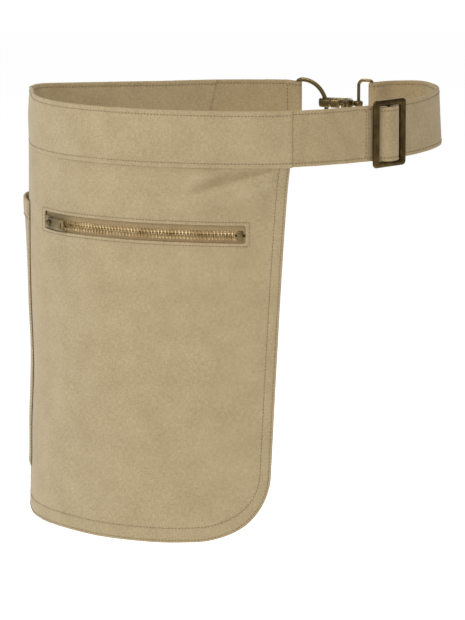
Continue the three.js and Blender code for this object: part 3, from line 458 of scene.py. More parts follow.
def stitches(rows, place, sides=(1, -1)):
    """Threads along the rows, on one or both sides of the cloth."""
    # Each thread's rings: place along it, thickness and height, with both ends sunk in the cloth
    share = np.array([-0.5, -0.36, 0, 0.36, 0.5])
    girth = np.array([0.25, 0.9, 1.0, 0.9, 0.25])
    lift = np.array([-0.16, 0.1, 0.2, 0.1, -0.16])
    around = 6
    turn = 2 * np.pi * np.arange(around) / around
    parts = []
    for row in rows:
        line = fine(row, 0.5)
        along = lengths_along(line)
        count = max(int(along[-1] // STITCH_PITCH), 1)
        middle = (np.arange(count) + 0.5) * along[-1] / count
        at = middle[:, None] + share * STITCH_LENGTH
        s, z = (np.interp(at, along, line[:, k]) for k in (0, 1))
        for side in sides:
            surface = place(s, z, float(side))
            out = surface - place(s, z, 0.0)
            out /= np.linalg.norm(out, axis=-1, keepdims=True)
            slope = np.gradient(surface, axis=1)
            slope /= np.linalg.norm(slope, axis=-1, keepdims=True)
            across = np.cross(out, slope)
            centre = surface + out * (lift * 0.9)[None, :, None]
            ring = (
                across[:, :, None, :] * np.cos(turn)[:, None]
                + out[:, :, None, :] * np.sin(turn)[:, None]
            ) * (girth * THREAD)[None, :, None, None]
            parts.append((centre[:, :, None, :] + ring).reshape(-1, 3))
    points = np.vstack(parts)
    faces = []
    for start in range(0, len(points), len(share) * around):
        faces += skin(len(share), around, start=start)
    return points, faces, np.zeros((len(points), 2))


# Colours, from sRGB hex to the linear values that a shader takes
def linear(code):
    values = [int(code[i:i + 2], 16) / 255 for i in (0, 2, 4)]
    return [v / 12.92 if v <= 0.04045 else ((v + 0.055) / 1.055) ** 2.4 for v in values] + [1.0]


def add(tree, kind, values=None, links=None, **settings):
    """Adds a node with its settings, its sockets' values and its links."""
    made = tree.nodes.new(kind)
    for name, value in settings.items():
        setattr(made, name, value)
    for name, value in (values or {}).items():
        made.inputs[name].default_value = value
    for name, source in (links or {}).items():
        tree.links.new(source, made.inputs[name])
    return made


def fresh(name, values):
    """A new material with these values on its shader's sockets."""
    material = bpy.data.materials.new(name)
    material.use_nodes = True
    shader = material.node_tree.nodes["Principled BSDF"]
    for socket, value in values.items():
        shader.inputs[socket].default_value = value
    return material, material.node_tree, shader


def woven(name, dark, light, pale, twill_mm=1.4, thread_mm=1.2, run_mm=3.5, mottle_mm=26):
    """Piece-dyed cotton: slanting twill lines, uneven threads both ways and a slow cloudiness of the dye.
    The real twill lines are about 0.7 mm apart, too fine to show, so they are drawn wider than they are."""
    material, tree, shader = fresh(name, {
        "Roughness": 0.92, "Specular IOR Level": 0.2, "Sheen Weight": 0.12, "Sheen Roughness": 0.5,
    })
    cloth = add(tree, "ShaderNodeUVMap", uv_map="cloth").outputs["UV"]
    slant = add(tree, "ShaderNodeMapping", {"Rotation": (0, 0, math.radians(28))}, {"Vector": cloth})
    # A wave texture's lines are a tenth of pi apart at scale 1
    line_scale = 0.1 * math.pi / (twill_mm * MM)
    lines = add(
        tree, "ShaderNodeTexWave",
        {"Scale": line_scale, "Distortion": 1.6, "Detail": 1.0, "Detail Scale": 0.4},
        {"Vector": slant.outputs[0]}, bands_direction="X",
    )
    threads = []
    for length, width in ((run_mm, thread_mm), (thread_mm, run_mm)):
        scale = (1 / (length * MM), 1 / (width * MM), 1)
        stretch = add(tree, "ShaderNodeMapping", {"Scale": scale}, {"Vector": cloth})
        threads.append(add(
            tree, "ShaderNodeTexNoise", {"Scale": 1.0, "Detail": 2.0, "Roughness": 0.6},
            {"Vector": stretch.outputs[0]}, noise_dimensions="2D",
        ).outputs[0])
    both = add(tree, "ShaderNodeMath", {}, {0: threads[0], 1: threads[1]}, operation="ADD")
    fibre = add(tree, "ShaderNodeMath", {1: 0.5}, {0: both.outputs[0]}, operation="MULTIPLY")
    cloud = add(
        tree, "ShaderNodeTexNoise", {"Scale": 1 / (mottle_mm * MM), "Detail": 3.0, "Roughness": 0.55},
        {"Vector": cloth}, noise_dimensions="2D",
    )
    lined = add(tree, "ShaderNodeMix", {"Factor": 0.22}, {"A": fibre.outputs[0], "B": lines.outputs["Fac"]})
    tone = add(tree, "ShaderNodeMix", {"Factor": 0.2}, {"A": lined.outputs[0], "B": cloud.outputs[0]})
    ramp = add(tree, "ShaderNodeValToRGB", {}, {"Fac": tone.outputs[0]})
    for stop, position, code in zip(ramp.color_ramp.elements, (0.3, 0.72), (dark, pale)):
        stop.position = position
        stop.color = linear(code)
    ramp.color_ramp.elements.new(0.5).color = linear(light)
    tree.links.new(ramp.outputs["Color"], shader.inputs["Base Color"])
    bump = add(
        tree, "ShaderNodeBump", {"Strength": 0.3, "Distance": 0.4 * MM}, {"Height": lined.outputs[0]},
    )
    tree.links.new(bump.outputs[0], shader.inputs["Normal"])
    return material


def cast_metal(name, dark, light, roughness, cloud_mm=11, grain_mm=1.2):
    """Plated metal with a worn antique finish: uneven tone, and gloss that comes and goes."""
    material, tree, shader = fresh(name, {"Metallic": 1.0})
    place = add(tree, "ShaderNodeTexCoord").outputs["Object"]
    cloud = add(
        tree, "ShaderNodeTexNoise", {"Scale": 1 / (cloud_mm * MM), "Detail": 2.0, "Roughness": 0.5},
        {"Vector": place},
    )
    grain = add(
        tree, "ShaderNodeTexNoise", {"Scale": 1 / (grain_mm * MM), "Detail": 3.0, "Roughness": 0.6},
        {"Vector": place},
    )
    ramp = add(tree, "ShaderNodeValToRGB", {}, {"Fac": cloud.outputs[0]})
    for stop, position, code in zip(ramp.color_ramp.elements, (0.35, 0.7), (dark, light)):
        stop.position = position
        stop.color = linear(code)
    tree.links.new(ramp.outputs["Color"], shader.inputs["Base Color"])
    gloss = add(
        tree, "ShaderNodeMapRange", {"To Min": roughness - 0.08, "To Max": roughness + 0.12},
        {"Value": grain.outputs[0]},
    )
    tree.links.new(gloss.outputs[0], shader.inputs["Roughness"])
    bump = add(
        tree, "ShaderNodeBump", {"Strength": 0.05, "Distance": 0.1 * MM}, {"Height": grain.outputs[0]},
    )
    tree.links.new(bump.outputs[0], shader.inputs["Normal"])
    return material


def spun_thread(name, code, uneven_mm=5):
    """Spun sewing thread, slightly glossier than the cloth that it pulls in."""
    material, tree, shader = fresh(name, {"Roughness": 0.7, "Sheen Weight": 0.2})
    place = add(tree, "ShaderNodeTexCoord").outputs["Object"]
    uneven = add(
        tree, "ShaderNodeTexNoise", {"Scale": 1 / (uneven_mm * MM), "Detail": 2.0}, {"Vector": place},
    )
    ramp = add(tree, "ShaderNodeValToRGB", {}, {"Fac": uneven.outputs[0]})
    for stop, share in zip(ramp.color_ramp.elements, (0.82, 1.15)):
        stop.color = [min(v * share, 1) for v in linear(code)[:3]] + [1]
    tree.links.new(ramp.outputs["Color"], shader.inputs["Base Color"])
    return material


# Each finish, with the slot that it fills
COTTON_TWILL = (woven("cotton_twill", "9c8a68", "b09f7c", "c3b290"), "twill")
STRAP_TWILL = (woven("cotton_twill_strap", "9a8763", "ae9b77", "c1ae8a"), "strap_twill")
ZIP_TAPE = (woven("polyester_zip_tape", "94805c", "a58f6b", "b29d78", mottle_mm=20), "tape")
SEWING_THREAD = (spun_thread("spun_thread", "83694a"), "twill")
STRAP_THREAD = (spun_thread("spun_thread_strap", "7a6140"), "strap_twill")
DARK_BRASS = (cast_metal("antique_brass_dark", "43351f", "66532f", 0.42), "dark_brass")
OLD_BRASS = (cast_metal("antique_brass", "5f5339", "917f55", 0.4), "old_brass")
TEETH_BRASS = (cast_metal("tooth_brass", "a58a58", "ead2a0", 0.3), "bright_brass")

# Waistband: doubled twill, stitched along both edges, with its far end cut on a slant
BAND_END, BAND_SLANT, BAND_STITCH = -PANEL_BACK - 2, 10, 4.2
BAND_ROWS = [
    [(BAND_END + 1, BAND_TOP - BAND_STITCH), (PANEL_FRONT - 1, BAND_TOP - BAND_STITCH)],
    [(BAND_END + 8, BAND_BOTTOM + BAND_STITCH), (PANEL_FRONT - 1, BAND_BOTTOM + BAND_STITCH)],
]
BAND_OUTLINE = [
    (BAND_END + BAND_SLANT, BAND_BOTTOM), (PANEL_FRONT, BAND_BOTTOM),
    (PANEL_FRONT, BAND_TOP), (BAND_END, BAND_TOP),
]
# How far the outer face stands out towards the near end, where the pull of the strap lifts it
BAND_PROUD, PROUD_FROM, PROUD_OVER = 1.2, 40, 80
# At the left turn the band is drawn in, and its upper part is lifted and leans in
TURN_AT, TURN_SPREAD, TURN_IN, TURN_LIFT, TURN_LEAN = 8, 24, 0.7, 2.9, 1.4
# Puff between the rows of stitches, thickness of the turned end, and lift of the far part
BAND_PUFF, END_FOLD, FAR_LIFT = 0.3, 0.8, 0.5


def on_band(s, z, side):
    puff = BAND_PUFF * swell(s, z, 34, seed=5) * smooth((BAND_TOP - np.abs(z)) / 8)
    high = smooth(z / BAND_TOP)
    corner = hump(s - TURN_AT, TURN_SPREAD)
    from_end = s - BAND_END - BAND_SLANT * (BAND_TOP - z) / (BAND_TOP - BAND_BOTTOM)
    folded = END_FOLD * np.exp(-np.maximum(from_end - 2.4, 0) / 1.2) * (np.asarray(side) < 0)
    lift = high * (TURN_LIFT * corner + FAR_LIFT * smooth((-150 - s) / 50))
    outer = (1 + np.asarray(side)) / 2
    proud = BAND_PROUD * smooth((s - PROUD_FROM) / PROUD_OVER) * outer - TURN_IN * corner
    wall = side * (BAND_WALL / 2 - groove(s, z, BAND_ROWS) + folded)
    return on_waist(s, wall + proud + puff - TURN_LEAN * high * corner, z + lift)


make(
    "waistband_cloth", slab([BAND_OUTLINE], on_band, BAND_WALL / 2, rows=BAND_ROWS),
    COTTON_TWILL, replaces=["waistband"],
)
make("waistband_stitches", stitches(BAND_ROWS, on_band), SEWING_THREAD)


# Panel: one layer of twill with a turned hem, and the zip window with its stitched frame
def edge_inset(z, margin):
    down = np.maximum(BAND_BOTTOM - z, 0) / PANEL_DROP
    radius = CORNER_RADIUS - margin
    rise = np.clip(z - PANEL_BOTTOM - margin, 0, radius)
    corner = radius - np.sqrt(radius ** 2 - (radius - rise) ** 2)
    return EDGE_START + EDGE_TAPER * down ** 0.75 + corner + margin


def panel_edge(margin, low_extra=0, top=BAND_BOTTOM):
    """The panel's edge moved in by a margin: down the near edge, along the foot and up the far edge."""
    low, radius = PANEL_BOTTOM + margin, CORNER_RADIUS - margin
    turn = radius * (1 - np.cos(np.radians(np.linspace(90, 0, 31))))
    z = np.concatenate([np.linspace(top, low + radius, 60)[:-1], low + turn])
    near = np.stack([PANEL_FRONT - edge_inset(z, margin), z], axis=1)
    far = np.stack([-PANEL_BACK + edge_inset(z, margin), z], axis=1)[::-1]
    line = np.vstack([near, far])
    line[:, 1] += low_extra * smooth((low + CORNER_RADIUS - line[:, 1]) / CORNER_RADIUS)
    return line


# The hem is wider along the foot by this, and stitches are this far in from a sewn edge
LOW_HEM_EXTRA, EDGE_STITCH = 3.5, 2.4
# The zip's frame of stitches stands this far off the window: above and below, at its left and its right
FRAME_GAP, FRAME_LEFT, FRAME_RIGHT = 2.8, 5.8, 3.6
WINDOW = rounded(ZIP_LENGTH, 2 * ZIP_HALF_HEIGHT, 2.2)[::-1] + ((ZIP_FROM + ZIP_TO) / 2, ZIP_Z)
ZIP_FRAME = box_corners(
    ZIP_FROM - FRAME_LEFT, ZIP_Z - ZIP_HALF_HEIGHT - FRAME_GAP,
    ZIP_TO + FRAME_RIGHT, ZIP_Z + ZIP_HALF_HEIGHT + FRAME_GAP,
)
PANEL_ROWS = [panel_edge(HEM_WIDTH, LOW_HEM_EXTRA), panel_edge(EDGE_STITCH), ZIP_FRAME + ZIP_FRAME[:1]]
# Where the hem's fold lies, how softly it starts, and how much of it shows on the outside
FOLD_AT, FOLD_SOFT, FOLD_SHOWS = HEM_WIDTH + 1.6, 0.9, 0.25
LIP_RISE, LIP_SPREAD = 0.75, 2.1
RIPPLE, RIPPLE_APART, RIPPLE_AT, RIPPLE_SPREAD = 0.28, 16, 5, 6
PANEL_EDGE = fine(panel_edge(0), 1.0)
HEM_FOLD = fine(panel_edge(FOLD_AT, LOW_HEM_EXTRA), 0.8)


def on_cloth(s, z, side):
    s, z = np.broadcast_arrays(np.asarray(s, float), np.asarray(z, float))
    flat = as_points(s, z).reshape(-1, 2)
    to_edge = gap_to(flat, PANEL_EDGE).reshape(s.shape)
    to_fold = gap_to(flat, HEM_FOLD).reshape(s.shape)
    hem = smooth(0.5 + np.where(to_edge < FOLD_AT, 1, -1) * np.minimum(to_fold, 4) / FOLD_SOFT)
    hem = np.where(to_edge + to_fold > HEM_WIDTH + LOW_HEM_EXTRA + 8, 0, hem)
    wide = np.maximum(np.maximum(ZIP_FROM - s, s - ZIP_TO), 0)
    high = np.maximum(np.abs(z - ZIP_Z) - ZIP_HALF_HEIGHT, 0)
    lip = hump(np.hypot(wide, high), LIP_SPREAD)
    sewn = groove(s, z, PANEL_ROWS)
    front = PANEL_WALL / 2 + FOLD_SHOWS * hem + LIP_RISE * lip - sewn
    back = -PANEL_WALL / 2 - HEM_WALL * hem + 0.6 * sewn
    ripple = RIPPLE * swell(s, z, RIPPLE_APART, seed=8) * hump(to_edge - RIPPLE_AT, RIPPLE_SPREAD)
    return on_panel(s, z, (front + back) / 2 + side * (front - back) / 2 + ripple)


# The panel's top runs up behind the band
PANEL_OUTLINE = panel_edge(0, top=BAND_BOTTOM + 2.5)[::-1]
panel_cloth = make(
    "panel_cloth", slab([PANEL_OUTLINE, WINDOW], on_cloth, PANEL_WALL / 2, rows=PANEL_ROWS),
    COTTON_TWILL, replaces=["panel", "hem_facing"],
)
make("panel_stitches", stitches(PANEL_ROWS, on_cloth), SEWING_THREAD)

# Patch pocket: its mouth stands open under a thick folded rim
PATCH_TOP = BAND_BOTTOM - PATCH_BELOW_BAND
PATCH_LEFT, PATCH_RIGHT, PATCH_FOOT = PATCH_START - PATCH_WIDTH, PATCH_START, PATCH_TOP - PATCH_DROP
ROW_LEFT, ROW_RIGHT = PATCH_LEFT + EDGE_STITCH, PATCH_RIGHT - EDGE_STITCH
ROW_FOOT, ROW_RIM = PATCH_FOOT + EDGE_STITCH, PATCH_TOP - PATCH_RIM + 2
PATCH_ROWS = [
    [(ROW_LEFT, PATCH_TOP - 1), (ROW_LEFT, ROW_FOOT), (ROW_RIGHT, ROW_FOOT), (ROW_RIGHT, PATCH_TOP - 1)],
    [(ROW_LEFT, ROW_RIM), (ROW_RIGHT, ROW_RIM)],
]
# The mouth stands open a little less than the solid's, over this share of the pocket's height
MOUTH_SETTLE, MOUTH_SHARE, BELLY_POWER = 1.9, 0.3, 1.9


def on_patch(s, z, side):
    across, down = (PATCH_RIGHT - s) / PATCH_WIDTH, (PATCH_TOP - z) / PATCH_DROP
    slack = LOW_SLACK / 2 + (MOUTH_SLACK - MOUTH_SETTLE) * (1 - smooth(down / MOUTH_SHARE))
    belly = np.sin(np.pi * np.clip(across, 0, 1)) ** BELLY_POWER
    inside_out = PANEL_WALL / 2 + CLEAR + belly * slack * smooth((1 - down) / 0.08)
    wall = PATCH_WALL + RIM_EXTRA * smooth((z - PATCH_TOP + PATCH_RIM) / 0.9)
    soft = 0.3 * swell(s, z, 50, seed=21) * smooth(down / 0.1) * belly
    out = inside_out + (1 + side) / 2 * wall - side * groove(s, z, PATCH_ROWS) + np.maximum(soft, -0.2)
    return on_panel(s, z, out)


PATCH_OUTLINE = box_corners(PATCH_LEFT, PATCH_FOOT, PATCH_RIGHT, PATCH_TOP)
patch_cloth = make(
    "patch_pocket_cloth", slab([PATCH_OUTLINE], on_patch, 0.9, rows=PATCH_ROWS),
    COTTON_TWILL, replaces=["patch_pocket"],
)
make("patch_pocket_stitches", stitches(PATCH_ROWS, on_patch, sides=(1,)), SEWING_THREAD)

# Zip pocket bag behind the panel
BAG_TOP, BAG_FOOT = ZIP_Z + BAG_MARGIN + ZIP_HALF_HEIGHT, ZIP_Z - BAG_DROP
BAG_LEFT, BAG_RIGHT = ZIP_FROM - BAG_MARGIN, ZIP_TO + BAG_MARGIN
BAG_INSET = 5
BAG_SEAM = box_corners(
    BAG_LEFT + BAG_INSET, BAG_FOOT + BAG_INSET, BAG_RIGHT - BAG_INSET, BAG_TOP - BAG_INSET,
)
BAG_ROWS = [BAG_SEAM[-1:] + BAG_SEAM]


def on_bag(s, z, side):
    from_side = np.minimum(s - BAG_LEFT, BAG_RIGHT - s)
    from_end = np.minimum(z - BAG_FOOT, BAG_TOP - z)
    from_edge = np.minimum(from_side, from_end)
    depth = BAG_DEPTH * smooth(from_edge / (BAG_MARGIN * 0.8))
    soft = 0.5 * swell(s, z, 60, seed=13) * smooth((from_edge - 8) / 12)
    front = -PANEL_WALL / 2 - CLEAR - depth + soft
    return on_panel(s, z, front - (1 - side) / 2 * BAG_WALL - side * groove(s, z, BAG_ROWS, depth=0.15))


BAG_OUTLINE = box_corners(BAG_LEFT, BAG_FOOT, BAG_RIGHT, BAG_TOP)
bag_cloth = make(
    "zip_pocket_bag_cloth", slab([BAG_OUTLINE], on_bag, BAG_WALL / 2, spacing=3.4, rows=BAG_ROWS),
    COTTON_TWILL, replaces=["zip_pocket_bag"],
)
make("zip_pocket_bag_stitches", stitches(BAG_ROWS, on_bag, sides=(-1,)), SEWING_THREAD)

# Zip: tapes with a cord along their inner edge, brass teeth clamped on the cords, a stop and a slider
CHAIN_Z = ZIP_Z - CHAIN_DROP
TAPE_FRONT = -PANEL_WALL / 2 - CLEAR
CHAIN_MIDDLE = TAPE_FRONT - TAPE_WALL / 2
SLIDER_FROM = ZIP_FROM + 0.8
CHAIN_FROM = SLIDER_FROM + 6
STOP_TO = ZIP_TO - 2
CHAIN_TO = STOP_TO - STOP_LENGTH - CLEAR
TAPE_INNER = CHAIN_WIDTH / 2 + CLEAR
TOOTH_OUTLINE = [
    (-0.45, -0.8), (0.45, -0.8), (0.74, -0.2), (0.74, 0.6), (0.6, 1.3), (0.98, 2.0), (0.98, 4.1),
    (-0.98, 4.1), (-0.98, 2.0), (-0.6, 1.3), (-0.74, 0.6), (-0.74, -0.2),
]
# Each tape starts under the teeth and runs past the window's ends
TAPE_FROM_MIDDLE, TAPE_PAST = 1.0, 2
# The first tooth's place, and how much of its outline's width each tooth takes
FIRST_TOOTH, TOOTH_SHARE = 0.65, 0.86


def on_tape(s, z, side):
    cord = hump(np.abs(z - CHAIN_Z) - TAPE_INNER - 0.5, 0.5)
    return on_panel(s, z, CHAIN_MIDDLE + side * (TAPE_WALL / 2 - 0.1 + 0.25 * cord))


tooth, tooth_faces, _ = slab([TOOTH_OUTLINE], as_points, 0.3)
for name, side in (("upper", 1), ("lower", -1)):
    low, high = sorted([CHAIN_Z + side * TAPE_FROM_MIDDLE, CHAIN_Z + side * (TAPE_INNER + TAPE_WIDTH)])
    outline = box_corners(ZIP_FROM - TAPE_PAST, low, ZIP_TO + TAPE_PAST, high)
    make(
        f"zip_tape_{name}_weave", slab([outline], on_tape, 0.4),
        ZIP_TAPE, replaces=[f"zip_tape_{name}"],
    )
    count = int((CHAIN_TO - CHAIN_FROM - FIRST_TOOTH) / TOOTH_PITCH)
    first = CHAIN_FROM + FIRST_TOOTH + (0 if side > 0 else TOOTH_PITCH / 2)
    # A tooth is thinner at its head than where it is clamped on the cord
    thick = TOOTH_THICK / 2 * (0.72 + 0.28 * smooth((tooth[:, 1] - 1.4) / 0.8))
    parts = []
    for i in range(count):
        s = first + i * TOOTH_PITCH + tooth[:, 0] * TOOTH_SHARE
        parts.append((
            on_panel(s, CHAIN_Z + side * tooth[:, 1], CHAIN_MIDDLE + tooth[:, 2] * thick),
            tooth_faces if side > 0 else [face[::-1] for face in tooth_faces],
            tooth[:, :2],
        ))
    make(
        f"zip_teeth_{name}_row", gathered(*parts),
        TEETH_BRASS, replaces=[f"zip_teeth_{name}"],
    )


def zip_plate(outline, middle, half, roll):
    """A flat piece of the zip, along the panel, with half its thickness to each side of a middle."""
    return slab([outline], lambda s, z, side: on_panel(s, z, middle + side * half), roll)


stop = rounded(STOP_LENGTH, CHAIN_WIDTH, 1.2) + (STOP_TO - STOP_LENGTH / 2, CHAIN_Z)
make(
    "zip_stop_clamp", zip_plate(stop, CHAIN_MIDDLE, TOOTH_THICK / 2 + STOP_PROUD, 0.7),
    OLD_BRASS, replaces=["zip_stop"],
)


def frame_at(start, direction):
    """Gives points by their lengths along a level direction, to its left and up, from a start."""
    tx, ty = direction
    return lambda x, y, up: as_points(
        start[0] + x * tx - y * ty, start[1] + x * ty + y * tx, start[2] + up,
    )


# Slider: a shield-shaped plate on each side of the chain, a post between them, and an arch for the pull
PLATE_MIDDLE = CHAIN_MIDDLE + TOOTH_THICK / 2 + CLEAR + SLIDER_PLATE / 2
PLATE_BEHIND = CHAIN_MIDDLE - TOOTH_THICK / 2 - CLEAR - SLIDER_PLATE / 2
SHIELD = [
    (1.5, -6), (9, -5.6), (15.5, -4.4), (17, -2.8), (17, 2.8),
    (15.5, 4.4), (9, 5.6), (1.5, 6), (0, 4.4), (0, -4.4),
]
POST_LENGTH, POST_WIDTH = 3.2, 4
ARCH = [
    (-1, 0.35), (-0.98, 0.1), (-0.9, -0.5), (-0.62, -0.88), (-0.2, -1),
    (0.2, -1), (0.62, -0.88), (0.9, -0.5), (0.98, 0.1), (1, 0.35),
]
ARCH_REACH, ARCH_HIGH, ARCH_WIDTH = 2.5, 2.2, 3
PIN_S = SLIDER_FROM + 9
PIN_OUT = PLATE_MIDDLE + SLIDER_PLATE / 2 + CLEAR + 0.1 + PULL_PIN / 2
at_pin = frame_at(on_panel(PIN_S, CHAIN_Z, PIN_OUT), waist_at(PIN_S)[2:])
shield = np.array(SHIELD) + (SLIDER_FROM, CHAIN_Z)
post = rounded(POST_LENGTH, POST_WIDTH, 0.8) + (SLIDER_FROM + POST_LENGTH, CHAIN_Z)
arch = np.array(ARCH) * (ARCH_REACH, ARCH_HIGH)
make(
    "zip_slider_body",
    gathered(
        zip_plate(shield, PLATE_MIDDLE, SLIDER_PLATE / 2, 0.5),
        zip_plate(shield, PLATE_BEHIND, SLIDER_PLATE / 2, 0.5),
        zip_plate(post, CHAIN_MIDDLE, TOOTH_THICK / 2 + 0.6, 0.2),
        tube(at_pin(arch[:, 0], arch[:, 1], 0), 0.5, (0, 0, 1), squash=ARCH_WIDTH),
    ),
    OLD_BRASS, replaces=["zip_slider"],
)

# Pull: a flat tab with a hole for the arch and a slit near its free end
HOLE_TO, SLIT_WIDTH, SLIT_FROM_END = 4.6, 1.8, 5.4
tail = rounded(PULL_LENGTH + PULL_PIN / 2, PULL_WIDTH, 1.8) + ((PULL_LENGTH - PULL_PIN / 2) / 2, 0)
hole = rounded(HOLE_TO - PULL_PIN / 2, ARCH_WIDTH + 1, 0.5)[::-1] + ((HOLE_TO + PULL_PIN / 2) / 2, 0)
slit = rounded(SLIT_WIDTH, PULL_WIDTH / 2, 0.8)[::-1] + (PULL_LENGTH - SLIT_FROM_END, 0)
make(
    "zip_pull_tab", slab([tail, hole, slit], lambda u, v, side: at_pin(u, -side * PULL_THICK / 2, v), 0.45),
    OLD_BRASS, body="pull", replaces=["zip_pull"],
)

# Strap of folded twill, and its folded end at the D-ring
D_FOLD = STRAP_WALL / 2 + CLEAR + D_WIRE / 2
RING_FOLD = STRAP_WALL / 2 + CLEAR + RING_WIRE / 2
D_BAR_AT = -(EXTENSION + PANEL_BACK) + D_FOLD
CLOSURE_REACH = D_DEPTH + HOOK_LENGTH + RING_DEPTH
ADJUSTER_BACK = STRAP_WALL / 2 + CLEAR + 0.1
STRAP_STITCH = STRAP_WIDTH / 2 - 3.4
# How far both straps run in behind the band
STRAP_TUCK = 8


def ring_bar_at():
    """Where the ring's bar is along the waist line, so that the hook just reaches it from the D-ring."""
    start = on_waist(D_BAR_AT, D_FOLD, 0)
    near, far = D_BAR_AT - CLOSURE_REACH * 0.8, D_BAR_AT - CLOSURE_REACH * 1.3
    for _ in range(40):
        middle = (near + far) / 2
        reach = np.linalg.norm(on_waist(middle, -RING_FOLD, 0) - start)
        near, far = (middle, far) if reach < CLOSURE_REACH else (near, middle)
    return near + WAIST_LENGTH


RING_BAR_AT = ring_bar_at()


def touching(start, centre, radius, side):
    """Where a straight line from outside touches a circle, in degrees, over its top for side 1."""
    away = np.subtract(start, centre)
    return math.degrees(math.atan2(away[1], away[0]) + side * math.acos(radius / np.hypot(*away)))


def eased(line, long_step=8, spacing=2.4):
    """The same line with its long steps drawn as soft curves."""
    out = [line[0]]
    for a, b in zip(line, line[1:]):
        step = abs(b[0] - a[0])
        if step > long_step:
            share = np.linspace(0, 1, max(int(step / spacing), 2))[1:-1]
            out += [(a[0] + (b[0] - a[0]) * t, a[1] + (b[1] - a[1]) * smooth(t)) for t in share]
        out.append(b)
    return np.array([(float(s), float(o)) for s, o in out])


# The strap's upper edge is higher along the far side, its lower edge a little lower than flat, the part
# in the adjuster lower too, and its top leans out less than its foot
EDGE_RISE, EDGE_DROP, PINCH_DROP, TOP_LEAN = 0.9, 0.4, 0.5, 0.3


def on_strap(s, out, height):
    """A point from a place along and beside the waist line, and a height above the strap's middle."""
    share = (s - ADJUSTER_AT - ADJUSTER_WIDTH / 2) / (RING_BAR_AT - ADJUSTER_AT - ADJUSTER_WIDTH)
    lean = STRAP_LEAN * np.sin(np.pi * np.clip(share, 0, 1)) ** 2
    beside = np.abs(s - ADJUSTER_AT) - ADJUSTER_WIDTH / 2 + ADJUSTER_BAR
    pinched = smooth(1 - beside / ADJUSTER_BAR)
    ringed = smooth(1 - (s - D_BAR_AT) / EDGE_SETTLE)
    half = STRAP_WIDTH / 2
    in_adjuster, in_ring = (ADJUSTER_WINDOW / 2 - CLEAR) / half - 1, (D_INNER / 2 - CLEAR) / half - 1
    scale = 1 + pinched * in_adjuster + ringed * in_ring
    low = 0.5 - height / STRAP_WIDTH
    far = smooth((s - ADJUSTER_AT - 60) / 40) * smooth((RING_BAR_AT + 8 - s) / 20) + 0.6 * (s < 0)
    rise = EDGE_RISE * far * smooth(height / half) - EDGE_DROP * smooth(-height / half) * (1 - pinched)
    z = STRAP_MIDDLE + height * scale - (ADJUSTER_DROP + PINCH_DROP) * pinched + rise
    return on_waist(s, out + (TOP_LEAN + (1 - TOP_LEAN) * low) * lean, z)


# How deep and wide the rows of stitches pull the strap in, and its slow unevenness
SEAM_PULL, SEAM_SPREAD, STRAP_SWELL, STRAP_SWELL_APART = 0.2, 0.8, 0.12, 40
# The step down from a turned-under layer: its height, and its spread before and past the edge
LAYER_STEP, STEP_BEFORE, STEP_PAST = 0.8, 7, 0.35


def along_strap(line, creases=(), sewn_edge=None):
    """Gives a point from a length along the strap's own line, a height and a side of the cloth.
    The sewn edge is where a turned-under layer ends on the outer side."""
    left = leftward(line, False)
    length = lengths_along(line)

    def place(t, height, side):
        s, out, ls, lo = (np.interp(t, length, column) for column in (*line.T, *left.T))
        sewn = SEAM_PULL * hump(np.abs(height) - STRAP_STITCH, SEAM_SPREAD)
        bend = STRAP_SWELL * swell(t, height, STRAP_SWELL_APART, seed=17)
        for at, slant, rise, spread in creases:
            bend = bend + rise * hump(t - at - slant * height, spread)
        if sewn_edge:
            fall = np.where(t < sewn_edge, STEP_BEFORE, STEP_PAST)
            bend = bend + LAYER_STEP * hump(t - sewn_edge, fall) * (np.asarray(side) > 0)
        depth = side * (STRAP_WALL / 2 - sewn) + bend
        return on_strap(s + ls * depth, out + lo * depth, height)

    return place, length


def ribbon(place, length):
    """A folded strap with rounded edges, from its first length to its last."""
    half, round_by = STRAP_WIDTH / 2, STRAP_WALL / 2
    flat = np.unique(np.concatenate([
        np.linspace(-half + round_by, half - round_by, 21),
        [sign * (STRAP_STITCH + d) for sign in (-1, 1) for d in (-1, -0.4, 0, 0.4, 1)],
    ]))
    turn = np.radians([67.5, 45, 22.5, 0, -22.5, -45, -67.5])
    over = half - round_by + round_by * np.cos(turn)
    height = np.concatenate([flat, over, flat[::-1], -over])
    side = np.concatenate([np.ones(len(flat)), np.sin(turn), -np.ones(len(flat)), -np.sin(turn)])
    count = len(height)
    points = place(length[:, None], height[None, :], side[None, :]).reshape(-1, 3)
    uv = as_points(length[:, None], height[None, :]).reshape(-1, 2)
    faces = []
    for i in range(len(length) - 1):
        a, b = i * count, (i + 1) * count
        faces += [(a + j, b + j, b + (j + 1) % count, a + (j + 1) % count) for j in range(count)]
    last = (len(length) - 1) * count
    faces += [tuple(range(count)), tuple(range(last + count - 1, last - 1, -1))]
    return points, faces, uv


